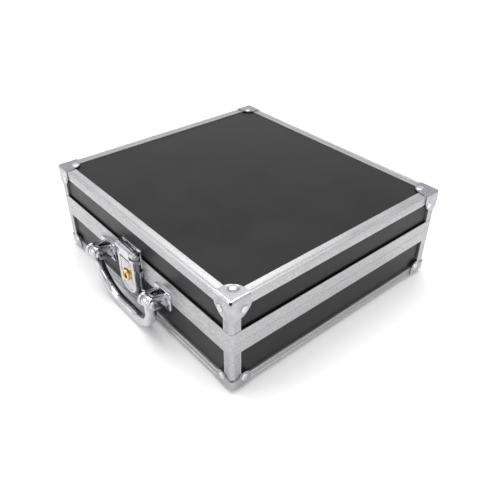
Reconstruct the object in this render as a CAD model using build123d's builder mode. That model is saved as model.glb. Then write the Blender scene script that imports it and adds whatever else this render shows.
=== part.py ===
from build123d import *
import os

# Aluminium-edged poker chip case: a shallow lid on a shallow base, hinged at the back, with a keyed
# hasp and a hanging bow handle on the front, and foam inserts for chips, cards and dice inside.
# Millimetres, +Z up. The front, with the hasp and handle, faces -Y. The pieces are drawn about the
# centre of the shell, and written with the origin under the middle of the whole outline, on the
# surface that the case stands on.

# ---- shell ------------------------------------------------------------------------------------
WIDTH = 250.0  # along X, over the edge extrusions
DEPTH = 229.0  # along Y
SHELL_HEIGHT = 84.0
FOOT_HEIGHT = 3.0
SEAM_ABOVE_SHELL_BOTTOM = 45.0
SEAM_GAP = 0.3

SKIN = 2.0  # how far the side panels lie behind the extrusions' outer faces
LEG = 1.0  # thickness of the extrusion legs that lie on the top and bottom panels
BOARD = 4.0  # panel thickness
LINING = 1.0

BOTTOM_Z = FOOT_HEIGHT
TOP_Z = FOOT_HEIGHT + SHELL_HEIGHT
SEAM_Z = FOOT_HEIGHT + SEAM_ABOVE_SHELL_BOTTOM
WALL = SKIN + BOARD + LINING  # from an extrusion's outer face to the lined inside
DECK = LEG + BOARD  # from the shell's top or bottom to the lining

# ---- extrusions -------------------------------------------------------------------------------
TRIM_TOP_LEG = 8.7
TRIM_SIDE_LEG = 8.5
TRIM_EDGE_R = 1.4
SHELL_CORNER_R = 2.6  # the shell's upright corners
BEAD_FROM_EDGE = 2.3  # the line that marks the bead along a trim's edge
BEAD_WIDTH = 0.8
BEAD_DEPTH = 0.35
POST_LEG = 9.0
POST_GAP = 0.4
RIM_HEIGHT = 10.0
RIM_BLOCK = 4.0  # solid part of a rim extrusion, at the seam
LID_LIP = 0.8  # thin outer lip of the lid rim, with an open slot behind it
SHADOW_GAP_TOP = 11.1  # the lid's side boards are stepped back below this height above the seam
SHADOW_GAP_STEP = 1.5
GROOVE_WIDTH = 2.6
GROOVE_DEPTH = 2.6
TONGUE_WIDTH = 1.2
TONGUE_DEPTH = 2.0
TONGUE_CENTRE = 3.5

# ---- corner caps and their rivets -------------------------------------------------------------
CAP_REACH = 17.5
CAP_SIDE_LID = 16.5
CAP_SIDE_BASE = 13.5
CAP_T = 0.8
CAP_LOBE_R = 11.0
CAP_LOBE_R_BASE = 9.0
CAP_RIVET_IN = 11.5
CAP_RIVET_DOWN_LID = 10.5
CAP_RIVET_UP_BASE = 7.8
CAP_HOLE_R = 0.8  # the opening where the three folds of a cap meet
RIVET_HEAD_R = 3.1
RIVET_HEAD_H = 1.2
RIVET_R = 1.6
RIVET_GRIP = CAP_T + DECK
SMALL_HEAD_R = 2.3
SMALL_HEAD_H = 0.9
SMALL_R = 1.2
SMALL_GRIP = SKIN + BOARD  # small rivets end inside the boards

# ---- hinges -----------------------------------------------------------------------------------
HINGE_X = 70.0
HINGE_WIDTH = 36.0
HINGE_LEAF = 14.0
HINGE_T = 1.2
KNUCKLE_R = 2.8
HINGE_OUT = 3.0  # hinge axis behind the back face
HINGE_PIN_R = 1.25
KNUCKLE_GAP = 0.3
KNUCKLE_RELIEF = 3.3
HINGE_RIVET_X = 12.0
HINGE_RIVET_DROP = 8.0

# ---- handle -----------------------------------------------------------------------------------
HANDLE_LEG_X = 42.0
HANDLE_OUT = 14.0  # pivot axis in front of the front face
HANDLE_PIVOT_Z = BOTTOM_Z + 39.0
HANDLE_REACH = 36.5
HANDLE_LEAN = 3.0  # how much nearer the case the grip hangs
HANDLE_BEND_R = 30.0
GRIP_HIGH = 7.0
GRIP_DEEP = 9.0
EYE_R = 5.4
EYE_WIDTH = 7.0
PIN_R = 2.0
PIN_PLAY = 0.06
PIN_HEAD_R = 3.6
PIN_HEAD_T = 1.4
PIN_END_R = 3.0  # the peened inner end
PIN_END_T = 0.8
BRACKET_WIDTH = 23.0
BRACKET_T = 2.0
BRACKET_TOP = SEAM_Z - 0.8
BRACKET_LOW = SEAM_Z - 17.0
BRACKET_RIVET_X = 8.9
BRACKET_RIVET_DROP = 7.0
EAR_T = 2.4
EAR_R = 6.4
EAR_GAP = 0.3  # between the handle's eye and the bracket's ears
EAR_ROOT_LOW = SEAM_Z - 15.0
EAR_ROOT_HIGH = SEAM_Z - 1.4
OVERLAP = 0.5  # how far joined shapes run into each other
BEHIND_GAP = 0.1  # between a plate's backing and the rim above it

# ---- hasp, keeper and strike ------------------------------------------------------------------
HASP_HALF = 12.0
HASP_NECK_HALF = 7.5
HASP_BACK = 2.8  # distances in front of the front face
HASP_FRONT = 8.7
HASP_WALL = 1.5
HASP_FACE_T = 2.2
HASP_PIN_OUT = 5.5
HASP_PIN_Z = BOTTOM_Z + 60.0
HASP_BARREL_R = 3.2
HASP_PIN_R = 1.25
HASP_SHOULDER_Z = HASP_PIN_Z - 4.6
HASP_TIP_Z = BOTTOM_Z + 19.0
HASP_ROUND_R = 11.0
PLATE_HALF = 13.5
PLATE_T = 1.5
KEEPER_LOW = SEAM_Z + 0.8
KEEPER_HIGH = BOTTOM_Z + 64.5
STRIKE_HIGH = SEAM_Z - 0.8
STRIKE_LOW = BOTTOM_Z + 20.5
STRIKE_FLANGE_T = 0.9
STRIKE_FLANGE_OUT = 3.6
STRIKE_RIVET_X = 8.5
STRIKE_RIVET_UP = 4.2
STRIKE_FLANGE_UP = 2.0
KEEPER_RIVET_X = 9.5
KEEPER_RIVET_UP = 5.5
KEEPER_BACK_UP = 0.3
KEEPER_WEB_DROP = 1.2
NECK_GAP = 0.4  # between the hasp's neck and the keeper's barrels
HASP_PIN_HEAD_R = 2.15
HASP_PIN_HEAD_T = 1.5
HASP_EDGE_R = 1.1
HASP_NECK_OVERLAP = 2.0
CREASE_DEPTH = 0.4
CREASE_LOW = SEAM_Z + 0.9
CREASE_HIGH = SEAM_Z + 1.5
BEZEL_CHAMFER = 0.4
HOUSING_GAP = 0.2  # between the cam and the lock housing
HOOK_FROM_KEY = 4.2
HOOK_T = 1.2
HOOK_FAR = 3.0
HOOK_HIGH = 3.0
HOOK_OUT = 5.0
HOOK_GAP = 0.4
HOOK_OVER_CAM = 2.6
CLAW_HALF = 5.0
CLAW_TOP = SEAM_Z - 3.6
CLAW_H = 1.7
CLAW_BACK = 3.3
LIP_H = 1.2
LIP_OUT = 5.6
LIP_CLEAR = 0.4

# ---- key lock ---------------------------------------------------------------------------------
KEY_X = -2.5  # the lock sits left of the hasp's middle
KEY_Z = BOTTOM_Z + 35.0
KEY_HOUSING_R = 4.3
KEY_BEZEL_R = 5.4
KEY_BEZEL_T = 0.8
PLUG_R = 3.0
PLUG_PLAY = 0.05
PLUG_FRONT = HASP_FRONT + KEY_BEZEL_T + 0.2
CAM_T = 1.2
CAM_BACK = 2.3
CAM_REACH = 7.5
CAM_HALF = 2.4
KEYWAY_HIGH = 4.2
KEYWAY_WIDE = 0.9
KEYWAY_DEEP = 3.0

# ---- inserts ----------------------------------------------------------------------------------
INSERT_PLAY = 1.0
INSERT_FLOOR_Z = BOTTOM_Z + DECK + LINING
INSERT_TOP_Z = SEAM_Z - 3.0
CHIP_ROWS = 5
CHIPS_PER_ROW = 40
CHIP_T = 3.3
CHIP_GROOVE_R = 20.5
CHIP_AXIS_ABOVE = 1.5
CHIP_ROW_PLAY = 2.0
RACK_END = 3.5
RACK_GAP = 0.6
CARD_WELL_X = 70.0
CARD_WELL_Y = 90.0
DICE_WELL_Y = 18.0
WELL_DEPTH = 30.0
WELL_WALL = 3.75
WELL_CORNER_R = 3.0
THUMB_R = 11.0
FOAM_T = 16.0

# ---- feet -------------------------------------------------------------------------------------
FOOT_R = 7.0
FOOT_IN = 30.0
FOOT_EDGE_R = 1.0
FOOT_RECESS = 2.0
FOOT_SCREW_R = 1.5
FOOT_SCREW_HEAD_R = 3.0
FOOT_SCREW_HEAD_T = 1.1
FOOT_SCREW_GRIP = 3.5  # how far the screw goes into the shell
CROSS_SLOT = 4.4

# The brackets' ears stand further out than the hinges, so the shell's centre is behind the origin.
SHELL_Y = (HANDLE_OUT + EAR_R - HINGE_OUT - KNUCKLE_R) / 2

# The outward direction of each side of the box.
SIDES = {"front": (0, -1), "right": (1, 0), "back": (0, 1), "left": (-1, 0)}
CORNERS = [(1, -1), (1, 1), (-1, 1), (-1, -1)]


def keep(piece, name):
    """Moves a finished piece to the case's origin, labels it and writes it as its own STEP file."""
    placed = piece.part.moved(Location((0, SHELL_Y, 0)))
    placed.label = name
    export_step(placed, f"parts/{name}.step")


def half_sizes(side):
    """Distance from the centre to a side's outer face, and half that side's length."""
    across = SIDES[side][0] != 0
    return (WIDTH / 2, DEPTH / 2) if across else (DEPTH / 2, WIDTH / 2)


def section_plane(side):
    """A plane across a side's extrusions: local X runs inward from the outer face and local Y is up."""
    nx, ny = SIDES[side]
    reach, _ = half_sizes(side)
    return Plane(origin=(nx * reach, ny * reach, 0), x_dir=(-nx, -ny, 0), z_dir=(-ny, nx, 0))


def mitre_planes(side):
    """The two 45 degree planes that end a side's extrusions. Their normals point off the ends."""
    nx, ny = SIDES[side]
    reach, half = half_sizes(side)
    for s in (1, -1):
        tx, ty = -ny * s, nx * s
        corner = (nx * reach + tx * half, ny * reach + ty * half, 0)
        yield Plane(origin=corner, z_dir=(tx - nx, ty - ny, 0))


def round_corners():
    """Rounds the shell's upright corners on the part being built."""
    r = SHELL_CORNER_R
    with BuildSketch() as slivers:
        for sx, sy in CORNERS:
            with Locations((sx * (WIDTH - r) / 2, sy * (DEPTH - r) / 2)):
                Rectangle(r, r)
            with Locations((sx * (WIDTH / 2 - r), sy * (DEPTH / 2 - r))):
                Circle(r, mode=Mode.SUBTRACT)
    extrude(slivers.sketch, amount=TOP_Z, mode=Mode.SUBTRACT)


def mitred(side, outline, rounded=None):
    """An extrusion of the outline along one side, mitred at both ends. The outline's points are
    (inward from the outer face, height). The corner nearest to rounded is given the trims' radius."""
    _, half = half_sizes(side)
    with BuildPart() as bar:
        with BuildSketch(section_plane(side)) as section:
            with BuildLine():
                Polyline(*outline, close=True)
            make_face()
            if rounded:
                corner = section.vertices().sort_by_distance((rounded[0], rounded[1], 0))[0]
                fillet(corner, TRIM_EDGE_R)
        extrude(amount=half, both=True)
        for plane in mitre_planes(side):
            split(bisect_by=plane, keep=Keep.BOTTOM)
        round_corners()
    return bar


def trim_outline(face_z, toward):
    """An L trim whose flat leg lies on the top (toward -1) or bottom (toward +1) panel, with the line
    of its bead cut into both legs."""
    d = toward
    near, far = BEAD_FROM_EDGE - BEAD_WIDTH / 2, BEAD_FROM_EDGE + BEAD_WIDTH / 2
    return [
        (0, face_z + d * TRIM_SIDE_LEG),
        (SKIN, face_z + d * TRIM_SIDE_LEG),
        (SKIN, face_z + d * LEG),
        (TRIM_TOP_LEG, face_z + d * LEG),
        (TRIM_TOP_LEG, face_z),
        (far, face_z),
        (BEAD_FROM_EDGE, face_z + d * BEAD_DEPTH),
        (near, face_z),
        (0, face_z),
        (0, face_z + d * near),
        (BEAD_DEPTH, face_z + d * BEAD_FROM_EDGE),
        (0, face_z + d * far),
    ]


def lid_rim_outline():
    """The lid's rim: a block at the seam with a tongue under it, and a slot that takes the panel."""
    low, block, high = SEAM_Z + SEAM_GAP / 2, SEAM_Z + RIM_BLOCK, SEAM_Z + RIM_HEIGHT
    tongue_out, tongue_in = TONGUE_CENTRE - TONGUE_WIDTH / 2, TONGUE_CENTRE + TONGUE_WIDTH / 2
    return [
        (0, low),
        (tongue_out, low),
        (tongue_out, SEAM_Z - TONGUE_DEPTH),
        (tongue_in, SEAM_Z - TONGUE_DEPTH),
        (tongue_in, low),
        (WALL, low),
        (WALL, high),
        (WALL - LINING, high),
        (WALL - LINING, block),
        (LID_LIP, block),
        (LID_LIP, high),
        (0, high),
    ]


def base_rim_outline():
    """The base's rim: a block at the seam with the groove for the tongue, and a slot for the panel."""
    high, block, low = SEAM_Z - SEAM_GAP / 2, SEAM_Z - RIM_BLOCK, SEAM_Z - RIM_HEIGHT
    groove_out, groove_in = TONGUE_CENTRE - GROOVE_WIDTH / 2, TONGUE_CENTRE + GROOVE_WIDTH / 2
    return [
        (0, high),
        (groove_out, high),
        (groove_out, high - GROOVE_DEPTH),
        (groove_in, high - GROOVE_DEPTH),
        (groove_in, high),
        (WALL, high),
        (WALL, low),
        (WALL - LINING, low),
        (WALL - LINING, block),
        (SKIN, block),
        (SKIN, low),
        (0, low),
    ]


def face_plane(x, y, z, normal):
    """A plane at a point of an outer face, with its normal pointing off the case."""
    return Plane(origin=(x, y, z), z_dir=normal)


def cap_rivet_planes(sx, sy, sz):
    """Where the three rivets of one corner cap sit, on the cap's outer faces."""
    face_z = TOP_Z if sz > 0 else BOTTOM_Z
    side_z = TOP_Z - CAP_RIVET_DOWN_LID if sz > 0 else BOTTOM_Z + CAP_RIVET_UP_BASE
    x_in, y_in = sx * (WIDTH / 2 - CAP_RIVET_IN), sy * (DEPTH / 2 - CAP_RIVET_IN)
    return [
        face_plane(x_in, y_in, face_z + sz * CAP_T, (0, 0, sz)),
        face_plane(sx * (WIDTH / 2 + CAP_T), y_in, side_z, (sx, 0, 0)),
        face_plane(x_in, sy * (DEPTH / 2 + CAP_T), side_z, (0, sy, 0)),
    ]


def rivet(head_r, head_h, shank_r, grip):
    """A domed rivet with its head above Z = 0 and its shank below."""
    with BuildPart() as piece:
        Cylinder(head_r, head_h, align=(Align.CENTER, Align.CENTER, Align.MIN))
        fillet(piece.edges().sort_by(Axis.Z)[-1], head_h * 0.85)
        Cylinder(shank_r, grip, align=(Align.CENTER, Align.CENTER, Align.MAX))
    return piece


def set_of(piece, planes):
    """Copies of a piece, one on each plane, as separate solids."""
    with BuildPart() as group:
        with Locations(*planes):
            add(piece.part)
    return group


def front(x, out, z):
    """A point in front of the front face by a distance."""
    return (x, -DEPTH / 2 - out, z)


def front_box(x_low, x_high, out_low, out_high, z_low, z_high, mode=Mode.ADD):
    """A box given by its limits, with its depth measured out from the front face."""
    with Locations(front((x_low + x_high) / 2, (out_low + out_high) / 2, (z_low + z_high) / 2)):
        Box(x_high - x_low, out_high - out_low, z_high - z_low, mode=mode)


def front_barrel(x_low, x_high, out, z, radius, mode=Mode.ADD):
    """A cylinder along X in front of the front face."""
    with Locations(front((x_low + x_high) / 2, out, z)):
        Cylinder(radius, x_high - x_low, rotation=(0, 90, 0), mode=mode)


os.makedirs("parts", exist_ok=True)

# ---- rivets that the panels are drilled for ---------------------------------------------------
lid_cap_planes = [p for sx, sy in CORNERS for p in cap_rivet_planes(sx, sy, 1)]
base_cap_planes = [p for sx, sy in CORNERS for p in cap_rivet_planes(sx, sy, -1)]
keeper_spots = [front(s * KEEPER_RIVET_X, PLATE_T, SEAM_Z + KEEPER_RIVET_UP) for s in (-1, 1)]
keeper_planes = [face_plane(*spot, (0, -1, 0)) for spot in keeper_spots]
strike_spots = [front(s * STRIKE_RIVET_X, PLATE_T, STRIKE_LOW + STRIKE_RIVET_UP) for s in (-1, 1)]
strike_planes = [face_plane(*spot, (0, -1, 0)) for spot in strike_spots]
bracket_centres = [-HANDLE_LEG_X, HANDLE_LEG_X]
bracket_rivet_x = [cx + dx for cx in bracket_centres for dx in (-BRACKET_RIVET_X, BRACKET_RIVET_X)]
bracket_spots = [front(x, BRACKET_T, SEAM_Z - BRACKET_RIVET_DROP) for x in bracket_rivet_x]
bracket_planes = [face_plane(*spot, (0, -1, 0)) for spot in bracket_spots]
hinge_spots = [(s * HINGE_X + dx) for s in (-1, 1) for dx in (-HINGE_RIVET_X, HINGE_RIVET_X)]
leaf_y = DEPTH / 2 + HINGE_T
hinge_upper_planes = [face_plane(x, leaf_y, SEAM_Z + HINGE_RIVET_DROP, (0, 1, 0)) for x in hinge_spots]
hinge_lower_planes = [face_plane(x, leaf_y, SEAM_Z - HINGE_RIVET_DROP, (0, 1, 0)) for x in hinge_spots]
foot_spots = [(sx * (WIDTH / 2 - FOOT_IN), sy * (DEPTH / 2 - FOOT_IN)) for sx, sy in CORNERS]
foot_planes = [face_plane(x, y, BOTTOM_Z, (0, 0, -1)) for x, y in foot_spots]

lid_fixings = keeper_planes + hinge_upper_planes
base_fixings = strike_planes + bracket_planes + hinge_lower_planes


def drill(planes, radius, grip):
    """Holes for the shanks of fasteners that stand on these planes, cut from the part being built."""
    with Locations(*planes):
        Cylinder(radius, grip, align=(Align.CENTER, Align.CENTER, Align.MAX), mode=Mode.SUBTRACT)


# ---- panels -----------------------------------------------------------------------------------
def flat_panel(low_z, cap_planes):
    """The top or bottom board, lying inside the trims."""
    with BuildPart() as board:
        with Locations((0, 0, low_z + BOARD / 2)):
            Box(WIDTH - 2 * SKIN, DEPTH - 2 * SKIN, BOARD)
        drill(cap_planes, RIVET_R, RIVET_GRIP)
    return board


def side_panel(side, low_z, high_z, cap_planes, fixings, stepped_to=None):
    """One side board. The front and back ones run the full width, and the end ones fit between them.
    Below stepped_to its outer face is set further back, which leaves a dark gap behind the rim's lip."""
    nx, ny = SIDES[side]
    reach, half = half_sizes(side)
    middle = reach - SKIN - BOARD / 2
    length = 2 * (half - (SKIN if ny else SKIN + BOARD))
    with BuildPart() as board:
        with Locations((nx * middle, ny * middle, (low_z + high_z) / 2)):
            Box(length if ny else BOARD, BOARD if ny else length, high_z - low_z)
        if stepped_to:
            step = reach - SKIN - SHADOW_GAP_STEP / 2
            step_x = 2 * half if ny else SHADOW_GAP_STEP
            step_y = SHADOW_GAP_STEP if ny else 2 * half
            with Locations((nx * step, ny * step, (low_z + stepped_to) / 2)):
                Box(step_x, step_y, stepped_to - low_z, mode=Mode.SUBTRACT)
        drill(cap_planes, RIVET_R, RIVET_GRIP)
        drill(fixings, SMALL_R, SMALL_GRIP)
    return board


lid_top_panel = flat_panel(TOP_Z - DECK, lid_cap_planes)
keep(lid_top_panel, "lid_top_panel")

with BuildPart() as base_bottom_panel:
    add(flat_panel(BOTTOM_Z + LEG, base_cap_planes).part)
    drill(foot_planes, FOOT_SCREW_R, FOOT_SCREW_GRIP)
keep(base_bottom_panel, "base_bottom_panel")

for side_name in SIDES:
    keep(
        side_panel(
            side_name, SEAM_Z + RIM_BLOCK, TOP_Z - DECK, lid_cap_planes, lid_fixings, SEAM_Z + SHADOW_GAP_TOP
        ),
        f"lid_{side_name}_panel",
    )
    keep(
        side_panel(side_name, BOTTOM_Z + DECK, SEAM_Z - RIM_BLOCK, base_cap_planes, base_fixings),
        f"base_{side_name}_panel",
    )

# ---- edge trims and rims ----------------------------------------------------------------------
for side_name in SIDES:
    keep(mitred(side_name, trim_outline(TOP_Z, -1), rounded=(0, TOP_Z)), f"lid_top_trim_{side_name}")

    with BuildPart() as base_bottom_trim:
        add(mitred(side_name, trim_outline(BOTTOM_Z, 1), rounded=(0, BOTTOM_Z)).part)
        drill(base_cap_planes, RIVET_R, RIVET_GRIP)
    keep(base_bottom_trim, f"base_bottom_trim_{side_name}")

    with BuildPart() as lid_rim:
        add(mitred(side_name, lid_rim_outline()).part)
        drill(lid_fixings, SMALL_R, SMALL_GRIP)
    keep(lid_rim, f"lid_rim_{side_name}")

    with BuildPart() as base_rim:
        add(mitred(side_name, base_rim_outline()).part)
        drill(base_fixings, SMALL_R, SMALL_GRIP)
    keep(base_rim, f"base_rim_{side_name}")


def corner_posts(low_z, high_z):
    """The four upright L extrusions between the rim and the trims."""
    with BuildPart() as posts:
        for sx, sy in CORNERS:
            with BuildSketch(Plane.XY.offset(low_z)) as section:
                with Locations((sx * (WIDTH / 2 - POST_LEG / 2), sy * (DEPTH / 2 - POST_LEG / 2))):
                    Rectangle(POST_LEG, POST_LEG)
                fillet(section.vertices().sort_by_distance((sx * WIDTH, sy * DEPTH, 0))[0], SHELL_CORNER_R)
                inner_in = SKIN + POST_LEG / 2
                with Locations((sx * (WIDTH / 2 - inner_in), sy * (DEPTH / 2 - inner_in))):
                    Rectangle(POST_LEG, POST_LEG, mode=Mode.SUBTRACT)
            extrude(amount=high_z - low_z)
    return posts


keep(corner_posts(SEAM_Z + RIM_HEIGHT + POST_GAP, TOP_Z - TRIM_SIDE_LEG), "lid_corner_posts")
keep(corner_posts(BOTTOM_Z + TRIM_SIDE_LEG, SEAM_Z - RIM_HEIGHT), "base_corner_posts")


# ---- corner caps ------------------------------------------------------------------------------
def corner_block(corner, size, edge_radii, index):
    """A block that fills one corner of the shell out to the given point, with the edge along each axis
    rounded over its whole length. Index 0 is the edge at that corner, and -1 the opposite one."""
    block = Box(abs(size.X), abs(size.Y), abs(size.Z)).moved(Location(corner - size / 2))
    with BuildPart() as rounded:
        add(block)
        for axis, radius in edge_radii.items():
            edge = block.edges().filter_by(axis).sort_by_distance(corner)[index]
            add(block.fillet(radius, [edge]), mode=Mode.INTERSECT)
    return rounded


def corner_cap(sx, sy, sz, side_reach, side_lobe_r):
    """A pressed cap of three lobes folded round one corner, with a small opening where they meet."""
    outward = Vector(sx, sy, sz)
    inner_corner = Vector(sx * WIDTH / 2, sy * DEPTH / 2, TOP_Z if sz > 0 else BOTTOM_Z)
    corner = inner_corner + outward * CAP_T
    size = Vector(sx * (CAP_REACH + CAP_T), sy * (CAP_REACH + CAP_T), sz * (side_reach + CAP_T))
    inside_radii = {Axis.X: TRIM_EDGE_R, Axis.Y: TRIM_EDGE_R, Axis.Z: SHELL_CORNER_R}
    outside_radii = {axis: radius + CAP_T for axis, radius in inside_radii.items()}
    lobe_radii = {Axis.X: side_lobe_r, Axis.Y: side_lobe_r, Axis.Z: CAP_LOBE_R}
    with BuildPart() as cap:
        add(corner_block(corner, size, outside_radii, 0).part)
        add(corner_block(inner_corner, size, inside_radii, 0).part, mode=Mode.SUBTRACT)
        add(corner_block(corner, size, lobe_radii, -1).part, mode=Mode.INTERSECT)
        with Locations(inner_corner - outward * TRIM_EDGE_R / 2):
            Sphere(CAP_HOLE_R, mode=Mode.SUBTRACT)
        drill(cap_rivet_planes(sx, sy, sz), RIVET_R, RIVET_GRIP)
    return cap


def corner_caps(sz, side_reach, side_lobe_r):
    """The four caps of the lid or of the base, mirrored from the right front one."""
    with BuildPart() as caps:
        add(corner_cap(1, -1, sz, side_reach, side_lobe_r).part)
        mirror(about=Plane.XZ)
        mirror(about=Plane.YZ)
    return caps


keep(corner_caps(1, CAP_SIDE_LID, CAP_LOBE_R), "lid_corner_caps")
keep(corner_caps(-1, CAP_SIDE_BASE, CAP_LOBE_R_BASE), "base_corner_caps")

cap_rivet = rivet(RIVET_HEAD_R, RIVET_HEAD_H, RIVET_R, RIVET_GRIP)
small_rivet = rivet(SMALL_HEAD_R, SMALL_HEAD_H, SMALL_R, SMALL_GRIP)
keep(set_of(cap_rivet, lid_cap_planes), "lid_cap_rivets")
keep(set_of(cap_rivet, base_cap_planes), "base_cap_rivets")
keep(set_of(small_rivet, keeper_planes), "keeper_rivets")
keep(set_of(small_rivet, strike_planes), "strike_rivets")
keep(set_of(small_rivet, bracket_planes), "bracket_rivets")
keep(set_of(small_rivet, hinge_upper_planes), "hinge_upper_rivets")
keep(set_of(small_rivet, hinge_lower_planes), "hinge_lower_rivets")


# ---- linings ----------------------------------------------------------------------------------
def lining(low_z, high_z, open_side):
    """A thin lined box that is open at the bottom (open_side -1) or at the top (+1)."""
    outer_x, outer_y = WIDTH - 2 * (WALL - LINING), DEPTH - 2 * (WALL - LINING)
    with BuildPart() as lined:
        with Locations((0, 0, (low_z + high_z) / 2)):
            Box(outer_x, outer_y, high_z - low_z)
        with Locations((0, 0, (low_z + high_z) / 2 + open_side * LINING)):
            Box(outer_x - 2 * LINING, outer_y - 2 * LINING, high_z - low_z, mode=Mode.SUBTRACT)
    return lined


keep(lining(SEAM_Z + RIM_HEIGHT, TOP_Z - DECK, -1), "lid_lining")
keep(lining(BOTTOM_Z + DECK, SEAM_Z - RIM_HEIGHT, 1), "base_lining")

inside_x, inside_y = WIDTH - 2 * WALL - 2 * INSERT_PLAY, DEPTH - 2 * WALL - 2 * INSERT_PLAY

with BuildPart() as lid_foam_pad:
    with Locations((0, 0, TOP_Z - DECK - LINING - FOAM_T / 2)):
        Box(inside_x, inside_y, FOAM_T)
    fillet(lid_foam_pad.edges().filter_by(Axis.Z), 4)
    fillet(lid_foam_pad.faces().sort_by(Axis.Z)[0].edges(), 3)
keep(lid_foam_pad, "lid_foam_pad")

# ---- chip rack and card tray ------------------------------------------------------------------
row_length = CHIPS_PER_ROW * CHIP_T + CHIP_ROW_PLAY
rack_x = row_length + 2 * RACK_END
rack_centre_x = -inside_x / 2 + rack_x / 2
row_pitch = inside_y / CHIP_ROWS
row_ys = [(row - (CHIP_ROWS - 1) / 2) * row_pitch for row in range(CHIP_ROWS)]
insert_height = INSERT_TOP_Z - INSERT_FLOOR_Z

with BuildPart() as chip_rack:
    with Locations((rack_centre_x, 0, INSERT_FLOOR_Z + insert_height / 2)):
        Box(rack_x, inside_y, insert_height)
    for row_y in row_ys:
        with Locations((rack_centre_x, row_y, INSERT_TOP_Z + CHIP_AXIS_ABOVE)):
            Cylinder(CHIP_GROOVE_R, row_length, rotation=(0, 90, 0), mode=Mode.SUBTRACT)
keep(chip_rack, "chip_rack")

tray_x = inside_x - rack_x - RACK_GAP
tray_centre_x = inside_x / 2 - tray_x / 2
dice_y = -inside_y / 2 + WELL_WALL + DICE_WELL_Y / 2
card_ys = [
    dice_y + DICE_WELL_Y / 2 + WELL_WALL + CARD_WELL_Y / 2,
    dice_y + DICE_WELL_Y / 2 + 2 * WELL_WALL + CARD_WELL_Y * 3 / 2,
]

with BuildPart() as card_tray:
    with Locations((tray_centre_x, 0, INSERT_FLOOR_Z + insert_height / 2)):
        Box(tray_x, inside_y, insert_height)
    with BuildSketch(Plane.XY.offset(INSERT_TOP_Z)):
        for card_y in card_ys:
            with Locations((tray_centre_x, card_y)):
                RectangleRounded(CARD_WELL_X, CARD_WELL_Y, WELL_CORNER_R)
            with Locations((tray_centre_x - CARD_WELL_X / 2, card_y)):
                Circle(THUMB_R)
        with Locations((tray_centre_x, dice_y)):
            RectangleRounded(CARD_WELL_X, DICE_WELL_Y, WELL_CORNER_R)
    extrude(amount=-WELL_DEPTH, mode=Mode.SUBTRACT)
keep(card_tray, "card_tray")


# ---- hinges -----------------------------------------------------------------------------------
def hinge_leaves(up):
    """The lid's leaves (up +1) or the base's (up -1). The lid's have the middle knuckle."""
    third = HINGE_WIDTH / 3
    own = [0] if up > 0 else [-third, third]
    axis_y = DEPTH / 2 + HINGE_OUT
    knuckle_width = third - KNUCKLE_GAP
    with BuildPart() as leaves:
        for side in (-1, 1):
            plate_z = SEAM_Z + up * (KNUCKLE_RELIEF + HINGE_LEAF) / 2
            with Locations((side * HINGE_X, DEPTH / 2 + HINGE_T / 2, plate_z)):
                Box(HINGE_WIDTH, HINGE_T, HINGE_LEAF - KNUCKLE_RELIEF)
            for dx in own:
                x = side * HINGE_X + dx
                with Locations((x, DEPTH / 2 + HINGE_T / 2, SEAM_Z + up * (KNUCKLE_RELIEF + OVERLAP) / 2)):
                    Box(knuckle_width, HINGE_T, KNUCKLE_RELIEF - OVERLAP)
                with Locations((x, axis_y, SEAM_Z)):
                    Cylinder(KNUCKLE_R, knuckle_width, rotation=(0, 90, 0))
        with Locations((0, axis_y, SEAM_Z)):
            Cylinder(
                HINGE_PIN_R + (PLUG_PLAY if up > 0 else 0),
                WIDTH,
                rotation=(0, 90, 0),
                mode=Mode.SUBTRACT,
            )
        drill(hinge_upper_planes if up > 0 else hinge_lower_planes, SMALL_R, SMALL_GRIP)
    return leaves


keep(hinge_leaves(1), "hinge_upper_leaves")
keep(hinge_leaves(-1), "hinge_lower_leaves")

with BuildPart() as hinge_pins:
    with Locations(*[(s * HINGE_X, DEPTH / 2 + HINGE_OUT, SEAM_Z) for s in (-1, 1)]):
        Cylinder(HINGE_PIN_R, HINGE_WIDTH, rotation=(0, 90, 0))
keep(hinge_pins, "hinge_pins")

# ---- handle and its brackets ------------------------------------------------------------------
with BuildPart() as handle_brackets:
    pivot = (DEPTH / 2 + HANDLE_OUT, HANDLE_PIVOT_Z)
    for cx in bracket_centres:
        half = BRACKET_WIDTH / 2
        front_box(cx - half, cx + half, 0, BRACKET_T, BRACKET_LOW, BRACKET_TOP)
        front_box(cx - half, cx + half, -SKIN, OVERLAP, BRACKET_LOW, SEAM_Z - RIM_HEIGHT - BEHIND_GAP)
        for s in (-1, 1):
            # two ears hold the pin, each an arm from the plate with a round end at the pivot
            ear_x = cx + s * (EYE_WIDTH / 2 + EAR_GAP + EAR_T / 2)
            ear_plane = Plane(origin=(ear_x - EAR_T / 2, 0, 0), x_dir=(0, -1, 0), z_dir=(-1, 0, 0))
            with BuildSketch(ear_plane):
                with BuildLine():
                    Polyline(
                        (DEPTH / 2 + OVERLAP, EAR_ROOT_HIGH),
                        (pivot[0], pivot[1] + EAR_R),
                        (pivot[0] + EAR_R, pivot[1]),
                        (pivot[0], pivot[1] - EAR_R),
                        (DEPTH / 2 + OVERLAP, EAR_ROOT_LOW),
                        close=True,
                    )
                make_face()
                with Locations(pivot):
                    Circle(EAR_R)
            extrude(amount=-EAR_T)
        front_barrel(cx - half, cx + half, HANDLE_OUT, HANDLE_PIVOT_Z, PIN_R, mode=Mode.SUBTRACT)
    drill(bracket_planes, SMALL_R, SMALL_GRIP)
keep(handle_brackets, "handle_brackets")

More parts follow.
